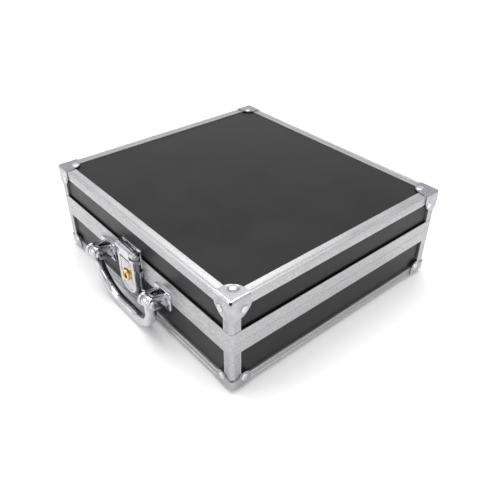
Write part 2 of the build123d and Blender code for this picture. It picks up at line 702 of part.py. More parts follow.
with BuildPart() as handle_pins:
    for s in (-1, 1):
        reach_x = EYE_WIDTH / 2 + EAR_GAP + EAR_T
        inner_x = s * (HANDLE_LEG_X - reach_x)
        outer_x = s * (HANDLE_LEG_X + reach_x)
        for end, stop, radius in (
            (inner_x, outer_x, PIN_R),
            (outer_x, outer_x + s * PIN_HEAD_T, PIN_HEAD_R),
            (inner_x - s * PIN_END_T, inner_x, PIN_END_R),
        ):
            front_barrel(min(end, stop), max(end, stop), HANDLE_OUT, HANDLE_PIVOT_Z, radius)
keep(handle_pins, "handle_pins")

with BuildPart() as handle_bow:
    grip_z = HANDLE_PIVOT_Z - HANDLE_REACH
    with BuildLine() as bow_line:
        FilletPolyline(
            front(-HANDLE_LEG_X, HANDLE_OUT, HANDLE_PIVOT_Z),
            front(-HANDLE_LEG_X, HANDLE_OUT - HANDLE_LEAN, grip_z),
            front(HANDLE_LEG_X, HANDLE_OUT - HANDLE_LEAN, grip_z),
            front(HANDLE_LEG_X, HANDLE_OUT, HANDLE_PIVOT_Z),
            radius=HANDLE_BEND_R,
        )
    start = front(-HANDLE_LEG_X, HANDLE_OUT, HANDLE_PIVOT_Z)
    with BuildSketch(Plane(origin=start, x_dir=(1, 0, 0), z_dir=(0, HANDLE_LEAN, -HANDLE_REACH))):
        Ellipse(GRIP_HIGH / 2, GRIP_DEEP / 2)
    sweep(path=bow_line.wires()[0])
    for s in (-1, 1):
        eye_low = s * HANDLE_LEG_X - EYE_WIDTH / 2
        front_barrel(eye_low, eye_low + EYE_WIDTH, HANDLE_OUT, HANDLE_PIVOT_Z, EYE_R)
    front_barrel(-WIDTH, WIDTH, HANDLE_OUT, HANDLE_PIVOT_Z, PIN_R + PIN_PLAY, mode=Mode.SUBTRACT)
keep(handle_bow, "handle_bow")

# ---- keeper on the lid ------------------------------------------------------------------------
with BuildPart() as latch_keeper:
    front_box(-PLATE_HALF, PLATE_HALF, 0, PLATE_T, KEEPER_LOW, KEEPER_HIGH)
    front_box(-PLATE_HALF, PLATE_HALF, -SKIN, OVERLAP, SEAM_Z + RIM_HEIGHT + KEEPER_BACK_UP, KEEPER_HIGH)
    web_low = HASP_PIN_Z - KEEPER_WEB_DROP
    for s in (-1, 1):
        x_low, x_high = sorted((s * (HASP_NECK_HALF + NECK_GAP), s * PLATE_HALF))
        front_barrel(x_low, x_high, HASP_PIN_OUT, HASP_PIN_Z, HASP_BARREL_R)
        front_box(x_low, x_high, OVERLAP, HASP_PIN_OUT, web_low, HASP_PIN_Z + HASP_BARREL_R)
    front_barrel(-PLATE_HALF, PLATE_HALF, HASP_PIN_OUT, HASP_PIN_Z, HASP_PIN_R, mode=Mode.SUBTRACT)
    drill(keeper_planes, SMALL_R, SMALL_GRIP)
keep(latch_keeper, "latch_keeper")

with BuildPart() as hasp_pin:
    front_barrel(-PLATE_HALF, PLATE_HALF, HASP_PIN_OUT, HASP_PIN_Z, HASP_PIN_R)
    front_barrel(PLATE_HALF, PLATE_HALF + HASP_PIN_HEAD_T, HASP_PIN_OUT, HASP_PIN_Z, HASP_PIN_HEAD_R)
keep(hasp_pin, "hasp_pin")

# ---- hasp -------------------------------------------------------------------------------------
hasp_front_plane = Plane(origin=front(0, HASP_FRONT, 0), x_dir=(1, 0, 0), z_dir=(0, -1, 0))


with BuildPart() as hasp:
    for inset, start, mode in ((0, 0, Mode.ADD), (HASP_WALL, -HASP_FACE_T, Mode.SUBTRACT)):
        # the tongue below the shoulder, and then the hollow behind its face
        low, high = HASP_TIP_Z + inset, HASP_SHOULDER_Z - inset
        with BuildSketch(hasp_front_plane.offset(start)) as tongue:
            with Locations((0, (low + high) / 2)):
                Rectangle(2 * (HASP_HALF - inset), high - low)
            fillet(tongue.vertices().group_by(Axis.Y)[0], HASP_ROUND_R - inset)
        extrude(amount=-(HASP_FRONT - HASP_BACK), mode=mode)
    fillet(hasp.faces().sort_by(Axis.Y)[0].edges(), HASP_EDGE_R)
    # neck and barrel
    front_barrel(-HASP_NECK_HALF, HASP_NECK_HALF, HASP_PIN_OUT, HASP_PIN_Z, HASP_BARREL_R)
    neck_low = HASP_SHOULDER_Z - HASP_NECK_OVERLAP
    front_box(-HASP_NECK_HALF, HASP_NECK_HALF, HASP_FRONT - HASP_FACE_T, HASP_FRONT, neck_low, HASP_PIN_Z)
    pin_bore_r = HASP_PIN_R + PLUG_PLAY
    front_barrel(-HASP_HALF, HASP_HALF, HASP_PIN_OUT, HASP_PIN_Z, pin_bore_r, mode=Mode.SUBTRACT)
    # the claw that hooks under the strike's lip
    front_box(-CLAW_HALF, CLAW_HALF, CLAW_BACK, HASP_FRONT - 1, CLAW_TOP - CLAW_H, CLAW_TOP)
    # a crease across the face, and the hole for the lock
    crease_back = HASP_FRONT - CREASE_DEPTH
    front_box(-HASP_HALF, HASP_HALF, crease_back, HASP_FRONT, CREASE_LOW, CREASE_HIGH, mode=Mode.SUBTRACT)
    with Locations(front(KEY_X, HASP_FRONT - HASP_FACE_T / 2, KEY_Z)):
        Cylinder(KEY_HOUSING_R, HASP_FACE_T * 2, rotation=(90, 0, 0), mode=Mode.SUBTRACT)
keep(hasp, "hasp")

# ---- key lock ---------------------------------------------------------------------------------
key_plane = Plane(origin=front(KEY_X, 0, KEY_Z), x_dir=(1, 0, 0), z_dir=(0, -1, 0))

with BuildPart() as lock_housing:
    housing_back = CAM_BACK + CAM_T + HOUSING_GAP
    with BuildSketch(key_plane.offset(housing_back)):
        Circle(KEY_HOUSING_R)
        Circle(PLUG_R + PLUG_PLAY, mode=Mode.SUBTRACT)
    extrude(amount=HASP_FRONT - housing_back)
    with BuildSketch(key_plane.offset(HASP_FRONT)):
        Circle(KEY_BEZEL_R)
        Circle(PLUG_R + PLUG_PLAY, mode=Mode.SUBTRACT)
    extrude(amount=KEY_BEZEL_T)
    chamfer(lock_housing.edges().group_by(Axis.Y)[0].sort_by(SortBy.RADIUS)[-1], BEZEL_CHAMFER)
keep(lock_housing, "lock_housing")

with BuildPart() as lock_plug:
    with BuildSketch(key_plane.offset(CAM_BACK + CAM_T)):
        Circle(PLUG_R)
    extrude(amount=PLUG_FRONT - CAM_BACK - CAM_T)
    with BuildSketch(key_plane.offset(PLUG_FRONT)):
        Rectangle(KEYWAY_WIDE, KEYWAY_HIGH)
    extrude(amount=-KEYWAY_DEEP, mode=Mode.SUBTRACT)
keep(lock_plug, "lock_plug")

with BuildPart() as lock_cam:
    with BuildSketch(key_plane.offset(CAM_BACK)):
        Circle(PLUG_R)
        with Locations((-(CAM_REACH - CAM_HALF) / 2, 0)):
            Rectangle(CAM_REACH - CAM_HALF, 2 * CAM_HALF)
        with Locations((-(CAM_REACH - CAM_HALF), 0)):
            Circle(CAM_HALF)
    extrude(amount=CAM_T)
keep(lock_cam, "lock_cam")

# ---- strike on the base -----------------------------------------------------------------------
with BuildPart() as latch_strike:
    front_box(-PLATE_HALF, PLATE_HALF, 0, PLATE_T, STRIKE_LOW, STRIKE_HIGH)
    front_box(-PLATE_HALF, PLATE_HALF, -SKIN, OVERLAP, STRIKE_LOW, SEAM_Z - RIM_HEIGHT - BEHIND_GAP)
    for s in (-1, 1):
        x_low, x_high = sorted((s * (PLATE_HALF - STRIKE_FLANGE_T), s * PLATE_HALF))
        flange_low = STRIKE_LOW + STRIKE_FLANGE_UP
        front_box(x_low, x_high, OVERLAP, STRIKE_FLANGE_OUT, flange_low, STRIKE_HIGH)
    # the lip that the hasp's claw hooks under
    lip_low = CLAW_TOP + LIP_CLEAR
    front_box(-CLAW_HALF, CLAW_HALF, OVERLAP, LIP_OUT, lip_low, lip_low + LIP_H)
    # the hook that the lock's cam turns behind
    hook_high = KEY_Z - CAM_REACH + HOOK_OVER_CAM
    hook_low = hook_high - HOOK_HIGH
    hook_x = KEY_X + HOOK_FROM_KEY
    front_box(hook_x, hook_x + HOOK_T, OVERLAP, HOOK_OUT, hook_low, hook_high)
    front_box(KEY_X - HOOK_FAR, hook_x + HOOK_T, CAM_BACK + CAM_T + HOOK_GAP, HOOK_OUT, hook_low, hook_high)
    drill(strike_planes, SMALL_R, SMALL_GRIP)
keep(latch_strike, "latch_strike")

# ---- feet -------------------------------------------------------------------------------------
ON_FLOOR = (Align.CENTER, Align.CENTER, Align.MIN)
foot_places = [Location((x, y, 0)) for x, y in foot_spots]
head_z = FOOT_RECESS - FOOT_SCREW_HEAD_T
head_middle = FOOT_RECESS - FOOT_SCREW_HEAD_T / 2

with BuildPart() as rubber_foot:
    Cylinder(FOOT_R, BOTTOM_Z + LEG, align=ON_FLOOR)
    fillet(rubber_foot.edges().sort_by(Axis.Z)[0], FOOT_EDGE_R)
    Cylinder(FOOT_SCREW_HEAD_R, FOOT_RECESS, align=ON_FLOOR, mode=Mode.SUBTRACT)
    Cylinder(FOOT_SCREW_R, BOTTOM_Z + LEG, align=ON_FLOOR, mode=Mode.SUBTRACT)
keep(set_of(rubber_foot, foot_places), "rubber_feet")

with BuildPart() as foot_screw:
    with Locations((0, 0, head_middle)):
        Cylinder(FOOT_SCREW_HEAD_R, FOOT_SCREW_HEAD_T)
    with Locations((0, 0, FOOT_RECESS)):
        Cylinder(FOOT_SCREW_R, BOTTOM_Z + FOOT_SCREW_GRIP - FOOT_RECESS, align=ON_FLOOR)
    with Locations((0, 0, head_z)):
        Box(CROSS_SLOT, FOOT_SCREW_HEAD_T, FOOT_SCREW_HEAD_T, mode=Mode.SUBTRACT)
        Box(FOOT_SCREW_HEAD_T, CROSS_SLOT, FOOT_SCREW_HEAD_T, mode=Mode.SUBTRACT)
keep(set_of(foot_screw, foot_places), "foot_screws")
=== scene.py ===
import math

import bmesh
import bpy
from mathutils import Matrix, Vector


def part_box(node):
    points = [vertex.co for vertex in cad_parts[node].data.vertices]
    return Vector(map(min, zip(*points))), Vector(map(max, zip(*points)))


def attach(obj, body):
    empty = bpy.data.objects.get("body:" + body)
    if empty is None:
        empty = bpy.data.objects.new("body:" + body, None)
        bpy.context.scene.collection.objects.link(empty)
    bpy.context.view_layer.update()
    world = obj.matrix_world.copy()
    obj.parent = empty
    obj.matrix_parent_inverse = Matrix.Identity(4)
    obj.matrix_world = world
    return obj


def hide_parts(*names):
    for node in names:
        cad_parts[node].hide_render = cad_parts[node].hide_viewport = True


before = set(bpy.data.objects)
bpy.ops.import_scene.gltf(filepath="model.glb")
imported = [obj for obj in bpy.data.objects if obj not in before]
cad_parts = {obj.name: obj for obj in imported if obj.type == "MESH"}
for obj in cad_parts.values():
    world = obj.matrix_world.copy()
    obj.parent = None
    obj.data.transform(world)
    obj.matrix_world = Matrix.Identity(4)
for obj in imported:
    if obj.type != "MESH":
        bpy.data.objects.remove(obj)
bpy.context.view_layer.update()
mm = 0.001

# the shell's outer faces, from the frame
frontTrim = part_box("lid_top_trim_front")
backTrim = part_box("lid_top_trim_back")
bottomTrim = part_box("base_bottom_trim_front")
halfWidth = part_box("lid_top_trim_right")[1].x
frontY = frontTrim[0].y
backY = backTrim[1].y
centreY = (frontY + backY) / 2
halfDepth = (backY - frontY) / 2
topZ = frontTrim[1].z
bottomZ = bottomTrim[0].z
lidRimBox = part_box("lid_rim_front")
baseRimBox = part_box("base_rim_front")
seamZ = baseRimBox[1].z + 0.15 * mm
corners = [(1, -1), (1, 1), (-1, 1), (-1, -1)]


# every piece takes the place of the node that has its name
def makePiece(name, shape, body, material, sharpAngle, bevel=0):
    mesh = bpy.data.meshes.new(name)
    mesh.from_pydata([tuple(v) for v in shape.verts], [], shape.faces)
    bm = bmesh.new()
    bm.from_mesh(mesh)
    bmesh.ops.remove_doubles(bm, verts=bm.verts, dist=0.002 * mm)
    bmesh.ops.dissolve_degenerate(bm, edges=bm.edges, dist=0.001 * mm)
    bmesh.ops.recalc_face_normals(bm, faces=bm.faces)
    bm.to_mesh(mesh)
    bm.free()
    mesh.shade_smooth()
    mesh.set_sharp_from_angle(angle=math.radians(sharpAngle))
    piece = bpy.data.objects.new(name, mesh)
    bpy.context.scene.collection.objects.link(piece)
    mesh.materials.append(material)
    if bevel:
        soften = piece.modifiers.new("edges", "BEVEL")
        soften.width = bevel
        soften.segments = 2
        soften.limit_method = "ANGLE"
        soften.angle_limit = math.radians(40)
        soften.harden_normals = True
    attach(piece, body)
    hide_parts(name)
    return piece


class Shape:  # verts and faces collected from several simple shapes
    def __init__(self):
        self.verts = []
        self.faces = []

    def addMesh(self, verts, faces):
        start = len(self.verts)
        self.verts += verts
        self.faces += [tuple(start + i for i in f) for f in faces]

    def addLoft(self, rings, capped=True):
        count = len(rings[0])
        verts = [p for ring in rings for p in ring]
        faces = []
        for k in range(len(rings) - 1):
            for i in range(count):
                j = (i + 1) % count
                faces.append((k * count + i, k * count + j, (k + 1) * count + j, (k + 1) * count + i))
        if capped:
            faces.append(tuple(reversed(range(count))))
            faces.append(tuple((len(rings) - 1) * count + i for i in range(count)))
        self.addMesh(verts, faces)

    def addLathe(self, profile, place, steps, capped=True):  # (radius, height) pairs in mm, turned about Z
        rings = []
        for radius, height in profile:
            angles = (2 * math.pi * k / steps for k in range(steps))
            rings.append([place @ Vector((radius * mm * math.cos(a), radius * mm * math.sin(a), height * mm))
                          for a in angles])
        self.addLoft(rings, capped)

    def addPrism(self, outline, place, depth):  # outline in the XY plane of place, pushed along its Z
        rings = [[place @ Vector((x, y, z)) for x, y in outline] for z in (0, depth)]
        self.addLoft(rings)

    def addBox(self, low, high):
        (x0, y0, z0), (x1, y1, z1) = low, high
        outline = [(x0, y0), (x1, y0), (x1, y1), (x0, y1)]
        self.addPrism(outline, Matrix.Translation((0, 0, z0)), z1 - z0)


def arc(cx, cy, radius, start, end, steps):
    points = []
    for k in range(steps + 1):
        a = math.radians(start + (end - start) * k / steps)
        points.append((cx + radius * math.cos(a), cy + radius * math.sin(a)))
    return points


def roundedRect(halfX, halfY, radius, steps, cx=0, cy=0):
    radius = min(radius, halfX, halfY)
    points = []
    for sx, sy, start in ((1, 1, 0), (-1, 1, 90), (-1, -1, 180), (1, -1, 270)):
        x, y = cx + sx * (halfX - radius), cy + sy * (halfY - radius)
        points += arc(x, y, radius, start, start + 90, steps)
    return points


def placeAlong(origin, zAxis, xAxis):
    z = Vector(zAxis).normalized()
    x = Vector(xAxis).normalized()
    y = z.cross(x)
    return Matrix((
        (x.x, y.x, z.x, origin[0]),
        (x.y, y.y, z.y, origin[1]),
        (x.z, y.z, z.z, origin[2]),
        (0, 0, 0, 1)))


def facing(origin, normal):  # a place whose Z points off the case
    up = (1, 0, 0) if abs(normal[2]) > 0.5 else (0, 0, 1)
    return placeAlong(origin, normal, Vector(up).cross(Vector(normal)))


def frontPoint(x, out, z):
    return (x, frontY - out, z)


def newMaterial(name, color, metallic, roughness):
    material = bpy.data.materials.new(name)
    material.use_nodes = True
    nodes = material.node_tree.nodes
    shader = nodes["Principled BSDF"]
    shader.inputs["Base Color"].default_value = (*color, 1)
    shader.inputs["Metallic"].default_value = metallic
    shader.inputs["Roughness"].default_value = roughness
    return material, nodes, material.node_tree.links, shader


def objectNoise(nodes, links, scale, stretch=(1, 1, 1), detail=4, rough=0.55):
    coords = nodes.new("ShaderNodeTexCoord")
    mapping = nodes.new("ShaderNodeMapping")
    mapping.inputs["Scale"].default_value = stretch
    noise = nodes.new("ShaderNodeTexNoise")
    noise.inputs["Scale"].default_value = scale
    noise.inputs["Detail"].default_value = detail
    noise.inputs["Roughness"].default_value = rough
    links.new(coords.outputs["Object"], mapping.inputs["Vector"])
    links.new(mapping.outputs["Vector"], noise.inputs["Vector"])
    return noise


def spread(nodes, links, source, low, high, fromLow=0.3, fromHigh=0.7):
    span = nodes.new("ShaderNodeMapRange")
    span.inputs["From Min"].default_value = fromLow
    span.inputs["From Max"].default_value = fromHigh
    span.inputs["To Min"].default_value = low
    span.inputs["To Max"].default_value = high
    links.new(source, span.inputs["Value"])
    return span.outputs["Result"]


def blendColors(nodes, links, factor, first, second):
    mix = nodes.new("ShaderNodeMix")
    mix.data_type = "RGBA"
    mix.inputs[6].default_value = (*first, 1)
    mix.inputs[7].default_value = (*second, 1)
    links.new(factor, mix.inputs[0])
    return mix.outputs[2]


def addBump(nodes, links, shader, height, distance, strength, after=None):
    bump = nodes.new("ShaderNodeBump")
    bump.inputs["Distance"].default_value = distance
    bump.inputs["Strength"].default_value = strength
    links.new(height, bump.inputs["Height"])
    if after:
        links.new(after.outputs["Normal"], bump.inputs["Normal"])
    links.new(bump.outputs["Normal"], shader.inputs["Normal"])
    return bump


aluminiumLook = {"color": (0.55, 0.55, 0.557), "dull": (0.30, 0.30, 0.305), "roughness": (0.33, 0.5),
                 "speckle": 750, "grain": 900, "cloud": 45, "grainDepth": 0.012, "speckleDepth": 0.02}


def satinAluminium(name, stretch):  # fine grain drawn out along the bar
    material, nodes, links, shader = newMaterial(name, aluminiumLook["color"], 0.9, 0.4)
    speckle = objectNoise(nodes, links, aluminiumLook["speckle"], detail=3, rough=0.75)
    drawn = objectNoise(nodes, links, aluminiumLook["grain"], stretch, detail=5, rough=0.7)
    cloudy = objectNoise(nodes, links, aluminiumLook["cloud"], detail=3)
    tint = spread(nodes, links, speckle.outputs["Fac"], 0, 1, 0.25, 0.75)
    color = blendColors(nodes, links, tint, aluminiumLook["dull"], aluminiumLook["color"])
    links.new(color, shader.inputs["Base Color"])
    low, high = aluminiumLook["roughness"]
    links.new(spread(nodes, links, cloudy.outputs["Fac"], low, high), shader.inputs["Roughness"])
    first = addBump(nodes, links, shader, drawn.outputs["Fac"], aluminiumLook["grainDepth"] * mm, 0.8)
    addBump(nodes, links, shader, speckle.outputs["Fac"], aluminiumLook["speckleDepth"] * mm, 0.7, first)
    return material


laminateLook = {"color": (0.005, 0.005, 0.0058), "worn": (0.010, 0.010, 0.0108), "roughness": (0.32, 0.42),
                "gloss": 0.22, "pebble": 1300, "pebbleDepth": 0.03, "smear": 22}


def blackLaminate():  # satin black laminate with a fine pebble and faint handling marks
    material, nodes, links, shader = newMaterial("blackLaminate", laminateLook["color"], 0.0, 0.4)
    shader.inputs["Specular IOR Level"].default_value = laminateLook["gloss"]
    pebble = objectNoise(nodes, links, laminateLook["pebble"], detail=2, rough=0.5)
    smears = objectNoise(nodes, links, laminateLook["smear"], detail=6, rough=0.6)
    tint = spread(nodes, links, smears.outputs["Fac"], 0, 1, 0.35, 0.75)
    color = blendColors(nodes, links, tint, laminateLook["color"], laminateLook["worn"])
    links.new(color, shader.inputs["Base Color"])
    low, high = laminateLook["roughness"]
    links.new(spread(nodes, links, smears.outputs["Fac"], low, high), shader.inputs["Roughness"])
    addBump(nodes, links, shader, pebble.outputs["Fac"], laminateLook["pebbleDepth"] * mm, 0.6)
    return material


plateLooks = {
    "chromePlate": {"color": (0.60, 0.60, 0.63), "tarnish": (0.46, 0.46, 0.49), "rough": 0.09,
                    "scratch": 0.006},
    "capSteel": {"color": (0.46, 0.46, 0.478), "tarnish": (0.33, 0.33, 0.345), "rough": 0.2, "scratch": 0.01},
    "rivetSteel": {"color": (0.70, 0.70, 0.72), "tarnish": (0.5, 0.5, 0.52), "rough": 0.24, "scratch": 0.01},
    "lockBrass": {"color": (0.83, 0.60, 0.26), "tarnish": (0.62, 0.42, 0.17), "rough": 0.16, "scratch": 0.01},
}


def polishedMetal(name):  # plating with faint smudges and hairlines
    look = plateLooks[name]
    material, nodes, links, shader = newMaterial(name, look["color"], 1.0, look["rough"])
    smudge = objectNoise(nodes, links, 120, detail=5, rough=0.6)
    hairline = objectNoise(nodes, links, 500, (1, 1, 0.08), detail=6, rough=0.75)
    tint = spread(nodes, links, smudge.outputs["Fac"], 0, 1, 0.3, 0.75)
    links.new(blendColors(nodes, links, tint, look["color"], look["tarnish"]), shader.inputs["Base Color"])
    low, high = look["rough"] * 0.7, look["rough"] * 1.9
    links.new(spread(nodes, links, smudge.outputs["Fac"], low, high), shader.inputs["Roughness"])
    addBump(nodes, links, shader, hairline.outputs["Fac"], look["scratch"] * mm, 0.8)
    return material


foamLooks = {
    "blackFoam": {"color": (0.018, 0.018, 0.019), "cell": 900, "depth": 0.12},
    "flockedLining": {"color": (0.012, 0.012, 0.013), "cell": 2600, "depth": 0.06},
    # paintedHoleShade is painted shade: near-black, standing in for the shadow inside each corner cap's
    # vertex hole
    "paintedHoleShade": {"color": (0.006, 0.006, 0.006), "cell": 1500, "depth": 0.02},
}


def foamSkin(name):  # closed cells, matt and slightly lighter where rubbed
    look = foamLooks[name]
    material, nodes, links, shader = newMaterial(name, look["color"], 0.0, 0.92)
    coords = nodes.new("ShaderNodeTexCoord")
    cells = nodes.new("ShaderNodeTexVoronoi")
    cells.inputs["Scale"].default_value = look["cell"]
    links.new(coords.outputs["Object"], cells.inputs["Vector"])
    rubbed = objectNoise(nodes, links, 35, detail=5)
    tint = spread(nodes, links, rubbed.outputs["Fac"], 0, 1, 0.35, 0.7)
    lighter = tuple(c * 1.9 for c in look["color"])
    links.new(blendColors(nodes, links, tint, look["color"], lighter), shader.inputs["Base Color"])
    shader.inputs["Sheen Weight"].default_value = 0.15
    shader.inputs["Sheen Roughness"].default_value = 0.6
    addBump(nodes, links, shader, cells.outputs["Distance"], look["depth"] * mm, 0.9)
    return material


rubberLook = {"color": (0.02, 0.02, 0.021), "dust": (0.06, 0.058, 0.055), "grain": 2200, "depth": 0.04}


def rubberSkin():
    material, nodes, links, shader = newMaterial("footRubber", rubberLook["color"], 0.0, 0.7)
    grain = objectNoise(nodes, links, rubberLook["grain"], detail=3)
    dust = objectNoise(nodes, links, 60, detail=5)
    tint = spread(nodes, links, dust.outputs["Fac"], 0, 1, 0.4, 0.75)
    color = blendColors(nodes, links, tint, rubberLook["color"], rubberLook["dust"])
    links.new(color, shader.inputs["Base Color"])
    addBump(nodes, links, shader, grain.outputs["Fac"], rubberLook["depth"] * mm, 0.8)
    return material


alongX = satinAluminium("aluminiumAlongX", (0.03, 1, 1))
alongY = satinAluminium("aluminiumAlongY", (1, 0.03, 1))
alongZ = satinAluminium("aluminiumAlongZ", (1, 1, 0.03))
laminate = blackLaminate()
chrome = polishedMetal("chromePlate")
capSteel = polishedMetal("capSteel")
rivetSteel = polishedMetal("rivetSteel")
brass = polishedMetal("lockBrass")
foam = foamSkin("blackFoam")
flock = foamSkin("flockedLining")
rubber = rubberSkin()
paintedHoleShade = foamSkin("paintedHoleShade")
print("materials ready")

sideDirections = {"front": (0, -1), "right": (1, 0), "back": (0, 1), "left": (-1, 0)}
shellCornerRadius = 2.6 * mm


# a bar along one side, with mitred and rounded ends; its profile is (inward from the outer face, height)
def sideBar(name, side, profile, body):
    nx, ny = sideDirections[side]
    reach, half = (halfWidth, halfDepth) if nx else (halfDepth, halfWidth)
    tx, ty = -ny, nx
    radius = shellCornerRadius
    turnSteps = 5
    stations = [(-1, 45 * (1 - k / turnSteps)) for k in range(turnSteps + 1)]
    stations += [(1, 45 * k / turnSteps) for k in range(turnSteps + 1)]
    rings = []
    for end, turn in stations:
        a = math.radians(turn)
        ring = []
        for inward, height in profile:
            if inward < radius:
                bend = radius - inward
                along = half - radius + bend * math.sin(a)
                depth = radius - bend * math.cos(a)
            else:
                along = half - inward
                depth = inward
            out = reach - depth
            ring.append((nx * out + tx * end * along, centreY + ny * out + ty * end * along, height))
        rings.append(ring)
    shape = Shape()
    shape.addLoft(rings)
    material = alongX if ny else alongY
    return makePiece(name, shape, body, material, 32)


trimLook = {"leg": 8.7, "side": 8.5, "skin": 2.0, "thick": 1.0, "bead": 2.35, "sunk": 0.22, "groove": 0.5,
            "round": 1.5}


def trimProfile(faceZ, toward):  # flat strip, bead on the edge, and a side strip
    leg, side, skin, thick, bead, sunk, groove, turn = trimLook.values()
    points = [(skin, side), (0.35, side), (0.12, side - 0.2)]
    points += [(sunk, side - 1.0), (sunk, bead + 0.9), (groove, bead + 0.45), (0.1, bead + 0.05)]
    points += arc(turn, turn, turn, 180, 270, 8)
    points += [(bead + 0.05, 0.1), (bead + 0.45, groove), (bead + 0.9, sunk), (leg - 0.9, sunk)]
    points += [(leg - 0.25, 0.1), (leg - 0.05, 0.3), (leg, thick), (skin, thick)]
    return [(d * mm, faceZ + toward * h * mm) for d, h in points]


rimLook = {"wall": 7.0, "block": 4.0, "edge": 0.14, "parting": 0.06, "lip": 0.8, "tongue": (2.9, 4.1),
           "skin": 2.0, "groove": (2.2, 4.8), "grooveDeep": 2.75}


def lidRimProfile():  # with the tongue that enters the base's groove
    wall, edge, lip = (rimLook[k] * mm for k in ("wall", "edge", "lip"))
    low, block, high = seamZ + rimLook["parting"] * mm, seamZ + rimLook["block"] * mm, lidRimBox[1].z
    near, far = (v * mm for v in rimLook["tongue"])
    tip, ease = lidRimBox[0].z, 0.2 * mm
    return [
        (edge, low), (near, low), (near, tip + edge), (near + ease, tip), (far - ease, tip),
        (far, tip + edge), (far, low), (wall - edge, low), (wall, low + edge), (wall, high),
        (wall - 1 * mm, high), (wall - 1 * mm, block), (lip, block), (lip, high - ease),
        (lip - ease, high), (edge, high), (0.08 * mm, high - 0.1 * mm), (0, high - edge), (0, low + edge)]


def baseRimProfile():
    wall, edge, skin = (rimLook[k] * mm for k in ("wall", "edge", "skin"))
    high, block, low = seamZ - rimLook["parting"] * mm, seamZ - rimLook["block"] * mm, baseRimBox[0].z
    near, far = (v * mm for v in rimLook["groove"])
    grooveZ = seamZ - rimLook["grooveDeep"] * mm
    return [
        (edge, high), (near, high), (near, grooveZ), (far, grooveZ), (far, high), (wall - edge, high),
        (wall, high - edge), (wall, low), (wall - 1 * mm, low), (wall - 1 * mm, block), (skin, block),
        (skin, low), (edge, low), (0.08 * mm, low + 0.1 * mm), (0, low + edge), (0, high - edge)]


for side in sideDirections:
    sideBar(f"lid_top_trim_{side}", side, trimProfile(topZ, -1), "lid")
    sideBar(f"base_bottom_trim_{side}", side, trimProfile(bottomZ, 1), "base")
    sideBar(f"lid_rim_{side}", side, lidRimProfile(), "lid")
    sideBar(f"base_rim_{side}", side, baseRimProfile(), "base")


postLook = {"leg": 9.0, "thick": 2.0, "radius": 2.6, "sunk": 0.15}


def cornerPosts(name, body):  # four upright L strips with a fine line near each edge
    low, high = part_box(name)[0].z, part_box(name)[1].z
    leg, thick, radius, sunk = postLook.values()
    half = [(leg, thick), (leg, 0.35), (leg - 0.25, 0.08), (leg - 0.9, 0), (leg - 1.3, 0.35)]
    half += [(leg - 1.7, sunk), (radius + 0.9, sunk), (radius + 0.5, 0)]
    outline = half + arc(radius, radius, radius, 270, 180, 8) + [(y, x) for x, y in reversed(half)]
    outline.append((thick, thick))
    shape = Shape()
    for sx, sy in corners:
        loop = [(sx * (halfWidth - x * mm), centreY + sy * (halfDepth - y * mm)) for x, y in outline]
        shape.addLoft([[(x, y, z) for x, y in loop] for z in (low, high)])
    return makePiece(name, shape, body, alongZ, 30)


cornerPosts("lid_corner_posts", "lid")
cornerPosts("base_corner_posts", "base")
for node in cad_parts.values():
    if "panel" in node.name:
        node.data.materials.clear()
        node.data.materials.append(laminate)
print("shell ready")


capLook = {"reach": 18.3, "thick": 0.8, "fold": 2.3, "topLobe": 12.0, "step": 34, "dimple": 0.55,
           "dimpleRadius": 5.4, "rivetIn": 12.3, "vertexHole": 1.5, "vertexShadeRadius": 1.3, "baseLobe": 5.6,
           "baseDip": 10.2}
capSides = {
    "lid": {"up": 1, "faceZ": topZ, "sideReach": 17.3, "rivetDrop": 10.5, "sideLobe": 12.0},
    "base": {"up": -1, "faceZ": bottomZ, "sideReach": 14.3, "rivetDrop": 7.8, "sideLobe": 9.0},
}


def scallop(u, rivetZ):  # round lobes over the rivets, and a dip between them
    off = u - capLook["rivetIn"]
    lobeTop = rivetZ + math.sqrt(max(capLook["baseLobe"] ** 2 - off * off, 0))
    return max(lobeTop, capLook["baseDip"]) if off < 0 else lobeTop


def rivetDimple(apart):  # how deep the sheet is pressed in at a distance from the rivet
    if apart >= capLook["dimpleRadius"]:
        return 0
    s = apart / capLook["dimpleRadius"]
    return min(capLook["dimple"] * (1 - s * s) ** 2 * 1.4, capLook["dimple"])


